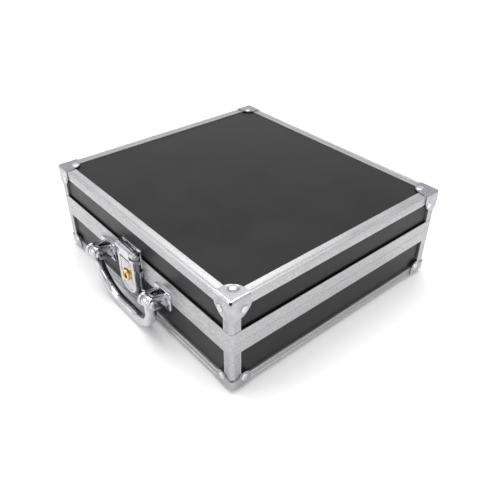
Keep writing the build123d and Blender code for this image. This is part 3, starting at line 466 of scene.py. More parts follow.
def cornerCap(shape, sx, sy, side):
    reach, thick, fold, count, rivetIn = (capLook[k] for k in ("reach", "thick", "fold", "step", "rivetIn"))
    sz, rivetZ = side["up"], side["rivetDrop"] + thick
    tip = Vector((sx * (halfWidth + thick * mm), centreY + sy * (halfDepth + thick * mm),
                  side["faceZ"] + sz * thick * mm))
    limits = {"x": reach, "y": reach, "z": side["sideReach"]}
    faces = (("x", "y", "z", capLook["topLobe"]), ("y", "z", "x", side["sideLobe"]),
             ("x", "z", "y", side["sideLobe"]))
    for first, second, flat, lobe in faces:
        grids = []
        rivetV = rivetZ if second == "z" else rivetIn
        for layer in (0, thick):
            grid = []
            for i in range(count + 1):
                for j in range(count + 1):
                    u, v = limits[first] * i / count, limits[second] * j / count
                    a = (u - limits[first] + lobe) / lobe
                    b = (v - limits[second] + lobe) / lobe
                    if second == "z" and sz < 0:
                        v = scallop(u, rivetZ) * j / count
                    elif a > 0 and b > 0:  # the lobe's round end
                        u += lobe * (a * math.sqrt(1 - b * b / 2) - a)
                        v += lobe * (b * math.sqrt(1 - a * a / 2) - b)
                    spot = {first: u, second: v, flat: 0.0}
                    point = Vector((spot["x"], spot["y"], spot["z"]))
                    inner = Vector([max(c, fold) for c in point])
                    away = inner - point
                    away.normalize()
                    surface = inner - away * fold
                    sink = rivetDimple(math.hypot(u - rivetIn, v - rivetV))
                    if math.hypot(u, v) < capLook["vertexHole"] and layer == 0:
                        sink = thick - 0.15
                    surface += away * (layer + sink)
                    grid.append(tip - Vector((sx * surface.x, sy * surface.y, sz * surface.z)) * mm)
            grids.append(grid)
        size = count + 1
        verts = grids[0] + grids[1]
        quads = []
        for i in range(count):
            for j in range(count):
                k = i * size + j
                quads.append((k, k + 1, k + size + 1, k + size))
                k += size * size
                quads.append((k, k + size, k + size + 1, k + 1))
        for k in range(count):  # the open rim along the two far edges
            a, b = count * size + k, count * size + k + 1
            quads.append((a, b, b + size * size, a + size * size))
            a, b = k * size + count, (k + 1) * size + count
            quads.append((a, b, b + size * size, a + size * size))
        shape.addMesh(verts, quads)


def capSet(body):
    side = capSides[body]
    shape = Shape()
    for sx, sy in corners:
        cornerCap(shape, sx, sy, side)
    piece = makePiece(f"{body}_corner_caps", shape, body, capSteel, 50)
    # painted shade: faces round each cap's vertex get the near-black second material in place of the shadow
    # in the small hole there
    piece.data.materials.append(paintedHoleShade)
    tips = [Vector((sx * halfWidth, centreY + sy * halfDepth, side["faceZ"])) for sx, sy in corners]
    for face in piece.data.polygons:  # the small opening where the three folds meet
        if min((face.center - tip).length for tip in tips) < capLook["vertexShadeRadius"] * mm:
            face.material_index = 1


rivetLooks = {
    "cap": {"radius": 3.1, "height": 1.2, "shank": 1.5, "grip": 4.0},
    "plate": {"radius": 2.3, "height": 0.9, "shank": 1.15, "grip": 3.0},
}
capRivetSunk = 0.5
rivetPairs = {"bracket_rivets": 17.8, "hinge_upper_rivets": 24, "hinge_lower_rivets": 24}


def rivetSet(name, body, spots, kind, sunk=0.0):
    radius, height, shank, grip = rivetLooks[kind].values()
    profile = [(0.01, height)]
    for k in range(1, 8):  # a low dome
        a = math.radians(90 - k * 12)
        profile.append((radius * math.cos(a), height * (0.25 + 0.75 * math.sin(a))))
    profile += [(radius, height * 0.2), (radius * 0.98, 0), (shank, 0), (shank, -grip), (0.01, -grip)]
    shape = Shape()
    for origin, normal in spots:
        shape.addLathe(profile, facing(Vector(origin) - Vector(normal) * sunk * mm, normal), 32)
    return makePiece(name, shape, body, rivetSteel, 45)


def capRivetSpots(side):
    inward, proud = (capLook["rivetIn"] - capLook["thick"]) * mm, capLook["thick"] * mm
    sz, z = side["up"], side["faceZ"] - side["up"] * side["rivetDrop"] * mm
    spots = []
    for sx, sy in corners:
        x, y = sx * (halfWidth - inward), centreY + sy * (halfDepth - inward)
        spots.append(((x, y, side["faceZ"] + sz * proud), (0, 0, sz)))
        spots.append(((sx * (halfWidth + proud), y, z), (sx, 0, 0)))
        spots.append(((x, centreY + sy * (halfDepth + proud), z), (0, sy, 0)))
    return spots


def rowSpots(name, y, normal):  # rivets of a node, spaced as its box says
    low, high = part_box(name)
    radius = rivetLooks["plate"]["radius"] * mm
    left, right = low.x + radius, high.x - radius
    pair = rivetPairs.get(name, 0) * mm
    spots = (left, left + pair, right - pair, right) if pair else (left, right)
    return [((x, y, (low.z + high.z) / 2), normal) for x in spots]


for body in capSides:
    capSet(body)
for body in capSides:
    rivetSet(f"{body}_cap_rivets", body, capRivetSpots(capSides[body]), "cap", capRivetSunk)
for name, body, out, outward in (
        ("keeper_rivets", "lid", 1.5, -1), ("strike_rivets", "base", 1.5, -1),
        ("bracket_rivets", "base", 2.0, -1), ("hinge_upper_rivets", "lid", 1.2, 1),
        ("hinge_lower_rivets", "base", 1.2, 1)):
    faceY = (frontY if outward < 0 else backY) + outward * out * mm
    rivetSet(name, body, rowSpots(name, faceY, (0, outward, 0)), "plate")
print("caps and rivets ready")


def acrossFront(x0):  # a place whose XY is (out from the front, height) and whose Z runs along +X
    return Matrix(((0, 0, 1, x0), (-1, 0, 0, frontY), (0, 1, 0, 0), (0, 0, 0, 1)))


def acrossBack(x0):
    return Matrix(((0, 0, 1, x0), (1, 0, 0, backY), (0, 1, 0, 0), (0, 0, 0, 1)))


def facePlate(shape, x0, x1, z0, z1, thick, radius, back=False):  # a plate with rounded corners
    cx, cz = (x0 + x1) / 2, (z0 + z1) / 2
    halfX, halfZ = (x1 - x0) / 2, (z1 - z0) / 2
    outline = roundedRect(halfX, halfZ, radius * mm, 5, cx, cz)
    faceY = backY if back else frontY
    outward = 1 if back else -1
    rings = []
    for level, inset in ((0, 0), (thick - 0.3, 0), (thick - 0.09, 0.09), (thick, 0.3)):
        sx, sz = 1 - inset * mm / halfX, 1 - inset * mm / halfZ
        y = faceY + outward * level * mm
        rings.append([(cx + (x - cx) * sx, y, cz + (z - cz) * sz) for x, z in outline])
    shape.addLoft(rings)


hingeLook = {"out": 3.0, "knuckle": 2.8, "wall": 1.2, "relief": 3.3, "thick": 1.2, "gap": 0.3, "width": 36,
             "corner": 1.2}


def hingeLeaves(name, body, up):
    low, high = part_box(name)
    plateEnd = high.z if up > 0 else low.z
    shape = Shape()
    leafWidth = hingeLook["width"] * mm
    third = leafWidth / 3
    own = [0] if up > 0 else [-third, third]
    r, w, out, relief = (hingeLook[k] for k in ("knuckle", "wall", "out", "relief"))
    curl = [(0.15, relief + 0.6), (0.2, 0)] + arc(out, 0, r, 190, 490, 25)
    curl += arc(out, 0, r - w, 500, 188, 26) + [(0.2 + w, 0), (w, relief + 0.6)]
    outline = [(x * mm, seamZ + up * z * mm) for x, z in curl]
    width = third - hingeLook["gap"] * mm
    z0, z1 = sorted((seamZ + up * relief * mm, plateEnd))
    for left in (low.x, high.x - leafWidth):
        middle = left + leafWidth / 2
        facePlate(shape, left, left + leafWidth, z0, z1, hingeLook["thick"], hingeLook["corner"], True)
        for dx in own:
            shape.addPrism(outline, acrossBack(middle + dx - width / 2), width)
    return makePiece(name, shape, body, chrome, 35)


hingeLeaves("hinge_upper_leaves", "lid", 1)
hingeLeaves("hinge_lower_leaves", "base", -1)

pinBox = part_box("hasp_pin")
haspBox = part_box("hasp")
pinZ = (pinBox[0].z + pinBox[1].z) / 2
pinOut = 5.5
haspLook = {"half": 12.0, "neck": 7.5, "back": 2.8, "front": 8.7, "barrel": 3.2, "round": 11.0,
            "shoulder": 4.6, "rim": 2.9, "sunk": 1.0, "wall": 1.8, "claw": 5.0}


def tongueOutline(inset):  # (x, z) round the hasp's face, with its round lower end
    half = haspLook["half"] * mm - inset
    top = pinZ - haspLook["shoulder"] * mm - inset
    low = haspBox[0].z + inset
    radius = haspLook["round"] * mm - inset
    corner = max(1.6 * mm - inset, 0.25 * mm)
    points = arc(half - corner, top - corner, corner, 0, 90, 4)
    points += arc(-half + corner, top - corner, corner, 90, 180, 4)
    points += arc(-half + radius, low + radius, radius, 180, 270, 12)
    points += arc(half - radius, low + radius, radius, 270, 360, 12)
    return points


def buildHasp():
    shape = Shape()
    front, back, rim, sunk = (haspLook[k] for k in ("front", "back", "rim", "sunk"))
    levels = [(1.5, front - 2.2), (1.5, back + 0.15), (1.35, back), (0.2, back), (0, back + 0.2),
              (0, front - 1.3), (0.12, front - 0.75), (0.42, front - 0.3), (0.9, front - 0.06), (1.3, front),
              (rim - 0.5, front), (rim - 0.1, front - 0.15), (rim + 0.1, front - 0.5),
              (rim + 0.25, front - sunk + 0.1), (rim + 0.6, front - sunk)]
    rings = [[frontPoint(x, out * mm, z) for x, z in tongueOutline(inset * mm)] for inset, out in levels]
    shape.addLoft(rings)
    # neck and curled barrel round the pin
    r, wall, root = haspLook["barrel"], haspLook["wall"], -haspLook["shoulder"] - 2.5
    curl = [(pinOut + r, root)] + arc(pinOut, 0, r, 0, 276, 23)
    curl += arc(pinOut, 0, r - wall, 276, 0, 23) + [(pinOut + r - wall, root)]
    outline = [(x * mm, pinZ + z * mm) for x, z in curl]
    shape.addPrism(outline, acrossFront(-haspLook["neck"] * mm), 2 * haspLook["neck"] * mm)
    # claw that hooks under the strike's lip
    claw, clawTop = haspLook["claw"] * mm, seamZ - 3.6 * mm
    shape.addBox(frontPoint(-claw, 7.7 * mm, clawTop - 1.7 * mm), frontPoint(claw, 3.3 * mm, clawTop))
    return makePiece("hasp", shape, "hasp", chrome, 30, 0.18 * mm)


keeperLook = {"thick": 1.5, "corner": 1.6, "wall": 1.75, "gap": 0.4, "backing": 10.4}


def buildKeeper():
    low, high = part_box("latch_keeper")
    shape = Shape()
    facePlate(shape, low.x, high.x, low.z, high.z, keeperLook["thick"], keeperLook["corner"])
    shape.addBox((low.x, frontY - 0.2 * mm, seamZ + keeperLook["backing"] * mm),
                 (high.x, frontY + 2.0 * mm, high.z))
    r, wall = haspLook["barrel"], keeperLook["wall"]
    curl = [(0.6, r), (pinOut, r)] + arc(pinOut, 0, r, 84, -180, 22)
    curl += arc(pinOut, 0, r - wall, -180, 84, 22) + [(0.6, r - wall)]
    outline = [(x * mm, pinZ + z * mm) for x, z in curl]
    width = high.x - (haspLook["neck"] + keeperLook["gap"]) * mm
    for x0 in (low.x, high.x - width):
        shape.addPrism(outline, acrossFront(x0), width)
    return makePiece("latch_keeper", shape, "lid", chrome, 30, 0.15 * mm)


strikeLook = {"thick": 1.5, "corner": 1.6, "flange": 0.9, "lip": 5.0, "hookHigh": 30.1}


def buildStrike():
    low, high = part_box("latch_strike")
    shape = Shape()
    facePlate(shape, low.x, high.x, low.z, high.z, strikeLook["thick"], strikeLook["corner"])
    shape.addBox((low.x, frontY - 0.2 * mm, low.z), (high.x, frontY + 2.0 * mm, baseRimBox[0].z - 0.1 * mm))
    foot, head = low.z / mm, high.z / mm
    flange = [(0.4, foot + 3.5), (3.0, foot + 5.5), (3.6, foot + 7), (3.6, head - 1.0), (3.2, head - 0.4),
              (0.4, head - 0.4)]
    for s in (-1, 1):
        x0, x1 = sorted((s * (high.x - strikeLook["flange"] * mm), s * high.x))
        shape.addPrism([(x * mm, z * mm) for x, z in flange], acrossFront(x0), x1 - x0)
    lip, lipZ = strikeLook["lip"] * mm, seamZ - 3.2 * mm
    shape.addBox(frontPoint(-lip, 5.6 * mm, lipZ), frontPoint(lip, 0.5 * mm, lipZ + 1.2 * mm))
    hookZ = bottomZ + strikeLook["hookHigh"] * mm  # the lock's cam turns behind this hook
    shape.addBox(frontPoint(1.7 * mm, 5.0 * mm, hookZ - 3 * mm), frontPoint(2.9 * mm, 0.5 * mm, hookZ))
    shape.addBox(frontPoint(-5.5 * mm, 5.0 * mm, hookZ - 3 * mm), frontPoint(2.9 * mm, 3.9 * mm, hookZ))
    return makePiece("latch_strike", shape, "base", chrome, 30, 0.15 * mm)


buildHasp()
buildKeeper()
buildStrike()

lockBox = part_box("lock_housing")
lockZ = (lockBox[0].z + lockBox[1].z) / 2
lockX = (lockBox[0].x + lockBox[1].x) / 2
lockLook = {"bezel": 5.4, "bore": 3.05, "face": 9.5, "plug": 3.0, "plugFace": 9.7, "keyway": (0.9, 4.2)}


def buildLock():
    shape = Shape()
    b, bore, face = lockLook["bezel"], lockLook["bore"], lockLook["face"]
    ring = [(bore, 4.0), (4.3, 4.0), (4.3, 7.6), (b, 7.7), (b, face - 0.75), (b - 0.15, face - 0.4),
            (b - 0.45, face - 0.12), (b - 0.85, face), (bore + 0.9, face - 0.05), (bore + 0.55, face - 0.22),
            (bore + 0.2, face - 0.3), (bore, face - 0.45)]
    place = placeAlong(frontPoint(lockX, 0, lockZ), (0, -1, 0), (1, 0, 0))
    shape.addLathe(ring + ring[:1], place, 56, False)
    makePiece("lock_housing", shape, "hasp", brass, 30)
    # plug with its keyway: rings that grow from the slot's outline to the rim
    width, height = lockLook["keyway"]
    slot = roundedRect(width / 2, height / 2, 0.3, 3)
    plug = Shape()

    def ringAt(grow, out):
        points = []
        for x, y in slot:
            rim = lockLook["plug"] / math.hypot(x, y)
            share = 1 + (rim - 1) * grow
            points.append(place @ Vector((x * share * mm, y * share * mm, out * mm)))
        return points

    f = lockLook["plugFace"]
    steps = [(0, f - 3), (0, f - 0.25), (0.06, f - 0.05), (0.16, f), (0.86, f), (0.96, f - 0.1),
             (1, f - 0.3), (1, 3.5)]
    plug.addLoft([ringAt(grow, out) for grow, out in steps])
    makePiece("lock_plug", plug, "lock_plug", brass, 30)


buildLock()
print("hasp and lock ready")

handleLook = {"out": 14.0, "legX": 42.0, "reach": 36.5, "lean": 3.0, "bend": 30.0, "eye": 5.4,
              "eyeWidth": 7.0, "eyeBore": 2.06, "leg": (3.3, 4.5), "grip": (4.4, 4.4), "squareness": 0.74}
handleZ = (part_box("handle_pins")[0].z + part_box("handle_pins")[1].z) / 2


def bowPath():  # (x, drop) from one eye to the other
    x, reach, bend = handleLook["legX"], handleLook["reach"], handleLook["bend"]
    points = [(-x, 0.5), (-x, 3.0), (-x, 5.0)]
    points += [(px, -pz) for px, pz in arc(-x + bend, -(reach - bend), bend, 180, 270, 16)]
    points += [(-x + bend + (2 * x - 2 * bend) * k / 8, reach) for k in range(1, 8)]
    points += [(px, -pz) for px, pz in arc(x - bend, -(reach - bend), bend, 270, 360, 16)]
    points += [(x, 5.0), (x, 3.0), (x, 0.5)]
    return points


def buildBow():
    shape = Shape()
    path = bowPath()
    rings = []
    for k, (x, drop) in enumerate(path):
        before, after = path[max(k - 1, 0)], path[min(k + 1, len(path) - 1)]
        tangent = Vector((after[0] - before[0], 0, -(after[1] - before[1]))).normalized()
        across = tangent.cross(Vector((0, 1, 0)))
        share = min(max((drop - 7) / 18, 0), 1)
        share = share * share * (3 - 2 * share)
        a = handleLook["leg"][0] + (handleLook["grip"][0] - handleLook["leg"][0]) * share
        b = handleLook["leg"][1] + (handleLook["grip"][1] - handleLook["leg"][1]) * share
        out = handleLook["out"] - handleLook["lean"] * drop / handleLook["reach"]
        centre = Vector(frontPoint(x * mm, out * mm, handleZ - drop * mm))
        ring = []
        for t in range(36):
            angle = 2 * math.pi * t / 36
            c, s = math.cos(angle), math.sin(angle)
            c = math.copysign(abs(c) ** handleLook["squareness"], c)
            s = math.copysign(abs(s) ** handleLook["squareness"], s)
            ring.append(centre + across * (a * c * mm) + Vector((0, 1, 0)) * (b * s * mm))
        rings.append(ring)
    shape.addLoft(rings)
    half, r, bore = handleLook["eyeWidth"] / 2, handleLook["eye"], handleLook["eyeBore"]
    eye = [(bore, -half), (r - 0.7, -half), (r - 0.2, -half + 0.2), (r, -half + 0.7), (r, half - 0.7),
           (r - 0.2, half - 0.2), (r - 0.7, half), (bore, half), (bore, -half)]
    for s in (-1, 1):
        origin = frontPoint(s * handleLook["legX"] * mm, handleLook["out"] * mm, handleZ)
        shape.addLathe(eye, placeAlong(origin, (1, 0, 0), (0, 0, 1)), 40, False)
    return makePiece("handle_bow", shape, "handle", chrome, 50)


bracketLook = {"half": 11.5, "thick": 2.0, "corner": 3.0, "earThick": 2.4, "earRadius": 6.4, "gap": 0.3,
               "rootLow": -15.0, "rootHigh": -1.4}


def buildBrackets():  # a plate with two arms on each side of the handle's eye
    bottom, top = (v.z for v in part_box("handle_brackets"))
    half, thick, radius = bracketLook["half"] * mm, bracketLook["earThick"], bracketLook["earRadius"]
    out, rootLow, rootHigh = handleLook["out"], bracketLook["rootLow"], bracketLook["rootHigh"]
    ear = [(0.5, rootHigh), (3.0, rootHigh - 0.3)] + arc(out, (handleZ - seamZ) / mm, radius, 100, -100, 20)
    ear += [(3.0, rootLow + 1.2), (0.5, rootLow)]
    outline = [(x * mm, seamZ + z * mm) for x, z in ear]
    centre = Vector((out * mm * 0.6, handleZ - 0.5 * mm))
    softened = ((0, 0.6), (0.2, 0.2), (0.6, 0), (thick - 0.6, 0), (thick - 0.2, 0.2), (thick, 0.6))
    shape = Shape()
    for side in (-1, 1):
        middle = side * handleLook["legX"] * mm
        facePlate(shape, middle - half, middle + half, bottom, top,
                  bracketLook["thick"], bracketLook["corner"])
        shape.addBox((middle - half + 1 * mm, frontY - 0.2 * mm, bottom + 1 * mm),
                     (middle + half - 1 * mm, frontY + 2 * mm, baseRimBox[0].z - 0.1 * mm))
        for s in (-1, 1):
            earX = middle + s * (handleLook["eyeWidth"] / 2 + bracketLook["gap"] + thick / 2) * mm
            place = acrossFront(earX - thick / 2 * mm)
            rings = []
            for depth, inset in softened:
                ring = []
                for x, z in outline:
                    away = Vector((x, z)) - centre
                    spot = centre + away * (1 - inset * mm / away.length)
                    ring.append(place @ Vector((spot.x, spot.y, depth * mm)))
                rings.append(ring)
            shape.addLoft(rings)
    return makePiece("handle_brackets", shape, "base", chrome, 40)


handlePinLook = {"shaft": 2.0, "peen": 3.0, "head": 3.6}


def buildHandlePins():  # a domed head outside and a peened end inside
    shaft, peen, head = handlePinLook.values()
    reach = handleLook["eyeWidth"] / 2 + bracketLook["gap"] + bracketLook["earThick"]
    length = 2 * reach
    profile = [(0.01, -0.8), (peen - 1.4, -0.78), (peen - 0.4, -0.5), (peen, -0.15), (peen, 0), (shaft, 0),
               (shaft, length), (head - 0.1, length), (head, length + 0.3), (head - 0.2, length + 0.8),
               (head - 0.9, length + 1.2), (head - 2.0, length + 1.38), (0.01, length + 1.4)]
    shape = Shape()
    for s in (-1, 1):
        origin = frontPoint(s * (handleLook["legX"] - reach) * mm, handleLook["out"] * mm, handleZ)
        shape.addLathe(profile, placeAlong(origin, (s, 0, 0), (0, 0, 1)), 36)
    return makePiece("handle_pins", shape, "base", rivetSteel, 40)


buildBow()
buildBrackets()
buildHandlePins()
print("handle ready")


def liningShell(name, body, openUp):
    low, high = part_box(name)
    closed, mouth = (low.z, high.z) if openUp else (high.z, low.z)
    inward = 1 if openUp else -1
    cx, cy = (low.x + high.x) / 2, (low.y + high.y) / 2
    halfX, halfY = (high.x - low.x) / 2, (high.y - low.y) / 2
    levels = [(0, closed, 0.5), (0, mouth, 0.5), (1.0, mouth, 1.5), (1.0, closed + inward * 3.5 * mm, 2.5),
              (1.3, closed + inward * 2.0 * mm, 2.5), (2.1, closed + inward * 1.2 * mm, 2.5),
              (3.5, closed + inward * 1.0 * mm, 2.5)]
    shape = Shape()
    rings = []
    for inset, z, radius in levels:
        loop = roundedRect(halfX - inset * mm, halfY - inset * mm, radius * mm, 5, cx, cy)
        rings.append([(x, y, z) for x, y in loop])
    shape.addLoft(rings)
    return makePiece(name, shape, body, flock, 50)


liningShell("lid_lining", "lid", False)
liningShell("base_lining", "base", True)


def smooth(t):
    t = min(max(t, 0), 1)
    return t * t * (3 - 2 * t)


def roundOff(edge, radius):  # how far a rounded edge lies behind the flat face
    if edge >= radius:
        return 0
    return radius * (1 - math.sqrt(1 - (1 - edge / radius) ** 2))


def gridShape(verts, countX, countY, farZ):  # a grid of points, closed by walls and a flat far side
    faces = []
    for i in range(countX - 1):
        for j in range(countY - 1):
            k = i * countY + j
            faces.append((k, k + countY, k + countY + 1, k + 1))
    rim = [i * countY for i in range(countX)] + [(countX - 1) * countY + j for j in range(1, countY)]
    rim += [i * countY + countY - 1 for i in range(countX - 2, -1, -1)] + list(range(countY - 2, 0, -1))
    start = len(verts)
    verts += [(verts[k][0], verts[k][1], farZ) for k in rim]
    for k in range(len(rim)):
        j = (k + 1) % len(rim)
        faces.append((rim[k], rim[j], start + j, start + k))
    faces.append(tuple(start + k for k in range(len(rim))))
    shape = Shape()
    shape.addMesh(verts, faces)
    return shape


def foamBlock(name, body, heightAt, xLines, yLines):  # a block whose top is a surface over grid lines
    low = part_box(name)[0]
    xs, ys = sorted(set(xLines)), sorted(set(yLines))
    verts = [(x, y, heightAt(x, y)) for x in xs for y in ys]
    piece = makePiece(name, gridShape(verts, len(xs), len(ys), low.z), body, foam, 60)
    return piece


def gridLines(low, high, step, walls=()):  # even lines, with close ones beside each wall and at both ends
    count = max(int(round((high - low) / step)), 1)
    lines = [low + (high - low) * k / count for k in range(count + 1)]
    for wall in walls:
        lines = [v for v in lines if abs(v - wall) > 1.3 * mm or v in (low, high)]
        near = [wall + d * mm for d in (-1.2, -0.8, -0.45, -0.15, 0.15, 0.5, 0.9)]
        lines += [v for v in near if low < v < high]
    for edge in (0.15, 0.4, 0.8, 1.2):
        lines += [low + edge * mm, high - edge * mm]
    return lines


chipLook = {"rows": 5, "radius": 20.5, "above": 1.5, "end": 3.5, "edge": 1.2}


def buildChipRack():
    low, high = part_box("chip_rack")
    pitch = (high.y - low.y) / chipLook["rows"]
    centres = [low.y + pitch * (k + 0.5) for k in range(chipLook["rows"])]
    radius, axisZ = chipLook["radius"] * mm, high.z + chipLook["above"] * mm
    ends = (low.x + chipLook["end"] * mm, high.x - chipLook["end"] * mm)
    reach = math.sqrt(radius ** 2 - (axisZ - high.z) ** 2)

    def heightAt(x, y):
        z = high.z
        off = min(abs(y - c) for c in centres)
        if off < reach:
            z = axisZ - math.sqrt(radius ** 2 - off ** 2)
            z = min(z, high.z)
        inside = min(x - ends[0], ends[1] - x)
        z = high.z + (z - high.z) * smooth(inside / (0.6 * mm) + 0.5)
        edge = min(x - low.x, high.x - x, y - low.y, high.y - y)
        return z - roundOff(edge, chipLook["edge"] * mm)

    xLines, yLines = gridLines(low.x, high.x, 5 * mm, ends), gridLines(low.y, high.y, 1.1 * mm)
    return foamBlock("chip_rack", "base", heightAt, xLines, yLines)


trayLook = {"wellX": 70, "cardY": 90, "diceY": 18, "wall": 3.75, "depth": 30, "corner": 3, "thumb": 11,
            "edge": 1.2}


def buildCardTray():
    low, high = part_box("card_tray")
    cx = (low.x + high.x) / 2
    wall, card, dice = trayLook["wall"] * mm, trayLook["cardY"] * mm, trayLook["diceY"] * mm
    halfX, corner = trayLook["wellX"] / 2 * mm, trayLook["corner"] * mm
    diceY = low.y + wall + dice / 2
    cardYs = [diceY + dice / 2 + wall + card / 2, diceY + dice / 2 + 2 * wall + card * 1.5]
    wells = [(diceY, dice / 2)] + [(y, card / 2) for y in cardYs]
    thumbs = [(cx - halfX, y) for y in cardYs]

    def outside(x, y):  # distance outside the nearest well, negative inside
        gaps = []
        for wy, half in wells:
            dx, dy = abs(x - cx) - halfX + corner, abs(y - wy) - half + corner
            gaps.append(math.hypot(max(dx, 0), max(dy, 0)) + min(max(dx, dy), 0) - corner)
        gaps += [math.hypot(x - tx, y - ty) - trayLook["thumb"] * mm for tx, ty in thumbs]
        return min(gaps)

    def heightAt(x, y):
        z = high.z - trayLook["depth"] * mm * smooth(0.5 - outside(x, y) / (0.7 * mm))
        edge = min(x - low.x, high.x - x, y - low.y, high.y - y)
        return z - roundOff(edge, trayLook["edge"] * mm)

    xLines = gridLines(low.x, high.x, 1.0 * mm, (cx - halfX, cx + halfX))
    yLines = gridLines(low.y, high.y, 1.1 * mm, [y + s * half for y, half in wells for s in (-1, 1)])
    return foamBlock("card_tray", "base", heightAt, xLines, yLines)


padLook = {"round": 4.0, "cornerCrown": 0.9, "sideCrown": 0.5, "countX": 64, "countY": 58}


def buildLidPad():  # a soft pad, fuller in the middle, rounded where it meets the lid's sides
    low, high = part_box("lid_foam_pad")
    halfX, halfY = (high.x - low.x) / 2, (high.y - low.y) / 2
    cx, cy = (low.x + high.x) / 2, (low.y + high.y) / 2
    countX, countY = padLook["countX"], padLook["countY"]
    verts = []
    for i in range(countX + 1):
        for j in range(countY + 1):
            u, v = 2 * i / countX - 1, 2 * j / countY - 1
            u = math.sin(u * math.pi / 2) * 0.6 + u * 0.4  # closer lines at the edges
            v = math.sin(v * math.pi / 2) * 0.6 + v * 0.4
            x, y = cx + u * halfX, cy + v * halfY
            edge = min(halfX - abs(x - cx), halfY - abs(y - cy))
            crown = padLook["cornerCrown"] * u * u * v * v + padLook["sideCrown"] * (u * u + v * v) / 2
            verts.append((x, y, low.z + roundOff(edge, padLook["round"] * mm) + crown * mm))
    shape = gridShape(verts, countX + 1, countY + 1, high.z)
    piece = makePiece("lid_foam_pad", shape, "lid", foam, 60)
    return piece


buildChipRack()
buildCardTray()
buildLidPad()


feetLook = {"radius": 7.0, "high": 4.0, "recess": 3.05, "hole": 1.55, "seat": 2.0}


def buildFeet():
    low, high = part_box("rubber_feet")
    r, top, recess, hole, seat = feetLook.values()
    profile = [(recess, 0.35), (recess + 0.15, 0.12), (recess + 0.55, 0), (r - 1.4, 0), (r - 0.6, 0.2),
               (r - 0.2, 0.7), (r, 1.5), (r, top - 0.4), (r - 0.1, top), (hole, top), (hole, seat),
               (recess, seat), (recess, 0.35)]
    shape = Shape()
    for sx, sy in corners:
        x = sx * (high.x - r * mm)
        y = (low.y + high.y) / 2 + sy * ((high.y - low.y) / 2 - r * mm)
        shape.addLathe(profile, Matrix.Translation((x, y, 0)), 40, False)
    return makePiece("rubber_feet", shape, "base", rubber, 40)


buildFeet()
for name in ("hinge_pins", "hasp_pin", "lock_cam", "foot_screws"):
    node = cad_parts[name]
    node.data.materials.clear()
    node.data.materials.append(rivetSteel)
print("inserts and feet ready")

floorLook = {"half": 6.0, "color": (0.90, 0.90, 0.90),
             "mottle": ((0.895, 0.895, 0.895), (0.915, 0.915, 0.915))}


def buildFloor():
    half = floorLook["half"]
    mesh = bpy.data.meshes.new("floor")
    points = [(-half, -half, 0), (half, -half, 0), (half, half, 0), (-half, half, 0)]
    mesh.from_pydata(points, [], [(0, 1, 2, 3)])
    floor = bpy.data.objects.new("floor", mesh)
    bpy.context.scene.collection.objects.link(floor)
    material, nodes, links, shader = newMaterial("paleFloor", floorLook["color"], 0.0, 0.75)
    mottle = objectNoise(nodes, links, 6, detail=3)
    tint = spread(nodes, links, mottle.outputs["Fac"], 0, 1)
    links.new(blendColors(nodes, links, tint, *floorLook["mottle"]), shader.inputs["Base Color"])
    shader.inputs["Specular IOR Level"].default_value = 0.2
    mesh.materials.append(material)


lights = {
    "overhead": {"at": (-0.3, 0.1, 1.45), "size": 1.3, "power": 19.0},
    "rightSide": {"at": (1.6, 0.1, 0.75), "size": 0.9, "power": 7.0},
    "frontLeft": {"at": (-0.9, -1.5, 0.9), "size": 0.9, "power": 7.0},
}
ceilingLook = {"strength": 1.5, "spread": 110}
skyLook = {"low": (0.95, 0.95, 0.97), "high": (0.035, 0.036, 0.04), "from": 0.30, "to": 0.82, "strength": 1.0}


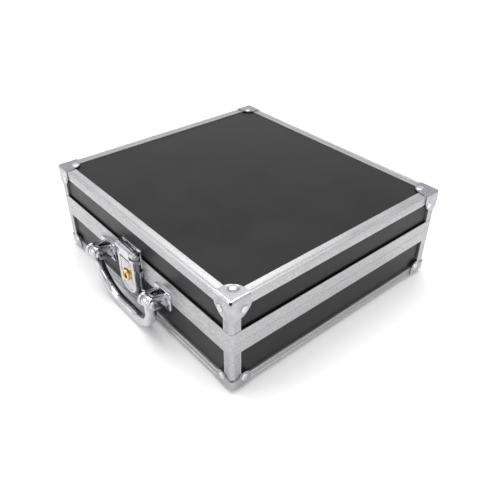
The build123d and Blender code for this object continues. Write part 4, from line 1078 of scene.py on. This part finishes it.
def buildLights():  # soft boxes, and a room that is bright at floor height and dark above
    middle = Vector((0, centreY, 0.04))
    for name, look in lights.items():
        data = bpy.data.lights.new(name, "AREA")
        data.shape = "SQUARE"
        data.size = look["size"]
        data.energy = look["power"]
        lamp = bpy.data.objects.new(name, data)
        bpy.context.scene.collection.objects.link(lamp)
        lamp.location = look["at"]
        lamp.rotation_mode = "QUATERNION"
        lamp.rotation_quaternion = (middle - Vector(look["at"])).to_track_quat("-Z", "Y")
    fill = bpy.data.lights.new("ceiling", "SUN")  # even light, so that the floor stays pale far away
    fill.energy = ceilingLook["strength"]
    fill.angle = math.radians(ceilingLook["spread"])
    lamp = bpy.data.objects.new("ceiling", fill)
    bpy.context.scene.collection.objects.link(lamp)
    world = bpy.data.worlds.new("studio")
    bpy.context.scene.world = world
    world.use_nodes = True
    nodes, links = world.node_tree.nodes, world.node_tree.links
    coords = nodes.new("ShaderNodeTexCoord")
    split = nodes.new("ShaderNodeSeparateXYZ")
    links.new(coords.outputs["Generated"], split.inputs[0])
    rise = spread(nodes, links, split.outputs["Z"], 0, 1, skyLook["from"], skyLook["to"])
    color = blendColors(nodes, links, rise, skyLook["low"], skyLook["high"])
    links.new(color, nodes["Background"].inputs["Color"])
    nodes["Background"].inputs["Strength"].default_value = skyLook["strength"]


cameraLook = {"azimuth": 49.07, "elevation": 35.9, "roll": 0.63, "distance": 540.1, "right": 7.4, "up": 3.5,
              "lens": 39.96}


def buildCamera():
    azimuth, elevation, roll = (math.radians(cameraLook[k]) for k in ("azimuth", "elevation", "roll"))
    back = Vector((math.sin(azimuth) * math.cos(elevation), -math.cos(azimuth) * math.cos(elevation),
                   math.sin(elevation)))
    level = Vector((math.cos(azimuth), math.sin(azimuth), 0))
    upright = back.cross(level)
    right = level * math.cos(roll) + upright * math.sin(roll)
    up = upright * math.cos(roll) - level * math.sin(roll)
    data = bpy.data.cameras.new("camera")
    data.lens = cameraLook["lens"]
    data.sensor_width = 36
    data.clip_start = 0.01
    data.clip_end = 50
    camera = bpy.data.objects.new("camera", data)
    bpy.context.scene.collection.objects.link(camera)
    centre = Vector((0, centreY, bottomZ))
    offset = back * cameraLook["distance"] + right * cameraLook["right"] + up * cameraLook["up"]
    place = centre + offset * mm
    camera.matrix_world = Matrix((
        (right.x, up.x, back.x, place.x),
        (right.y, up.y, back.y, place.y),
        (right.z, up.z, back.z, place.z),
        (0, 0, 0, 1)))
    bpy.context.scene.camera = camera


buildFloor()
buildLights()
buildCamera()
bpy.context.scene.view_settings.view_transform = "Standard"
print("stage ready")
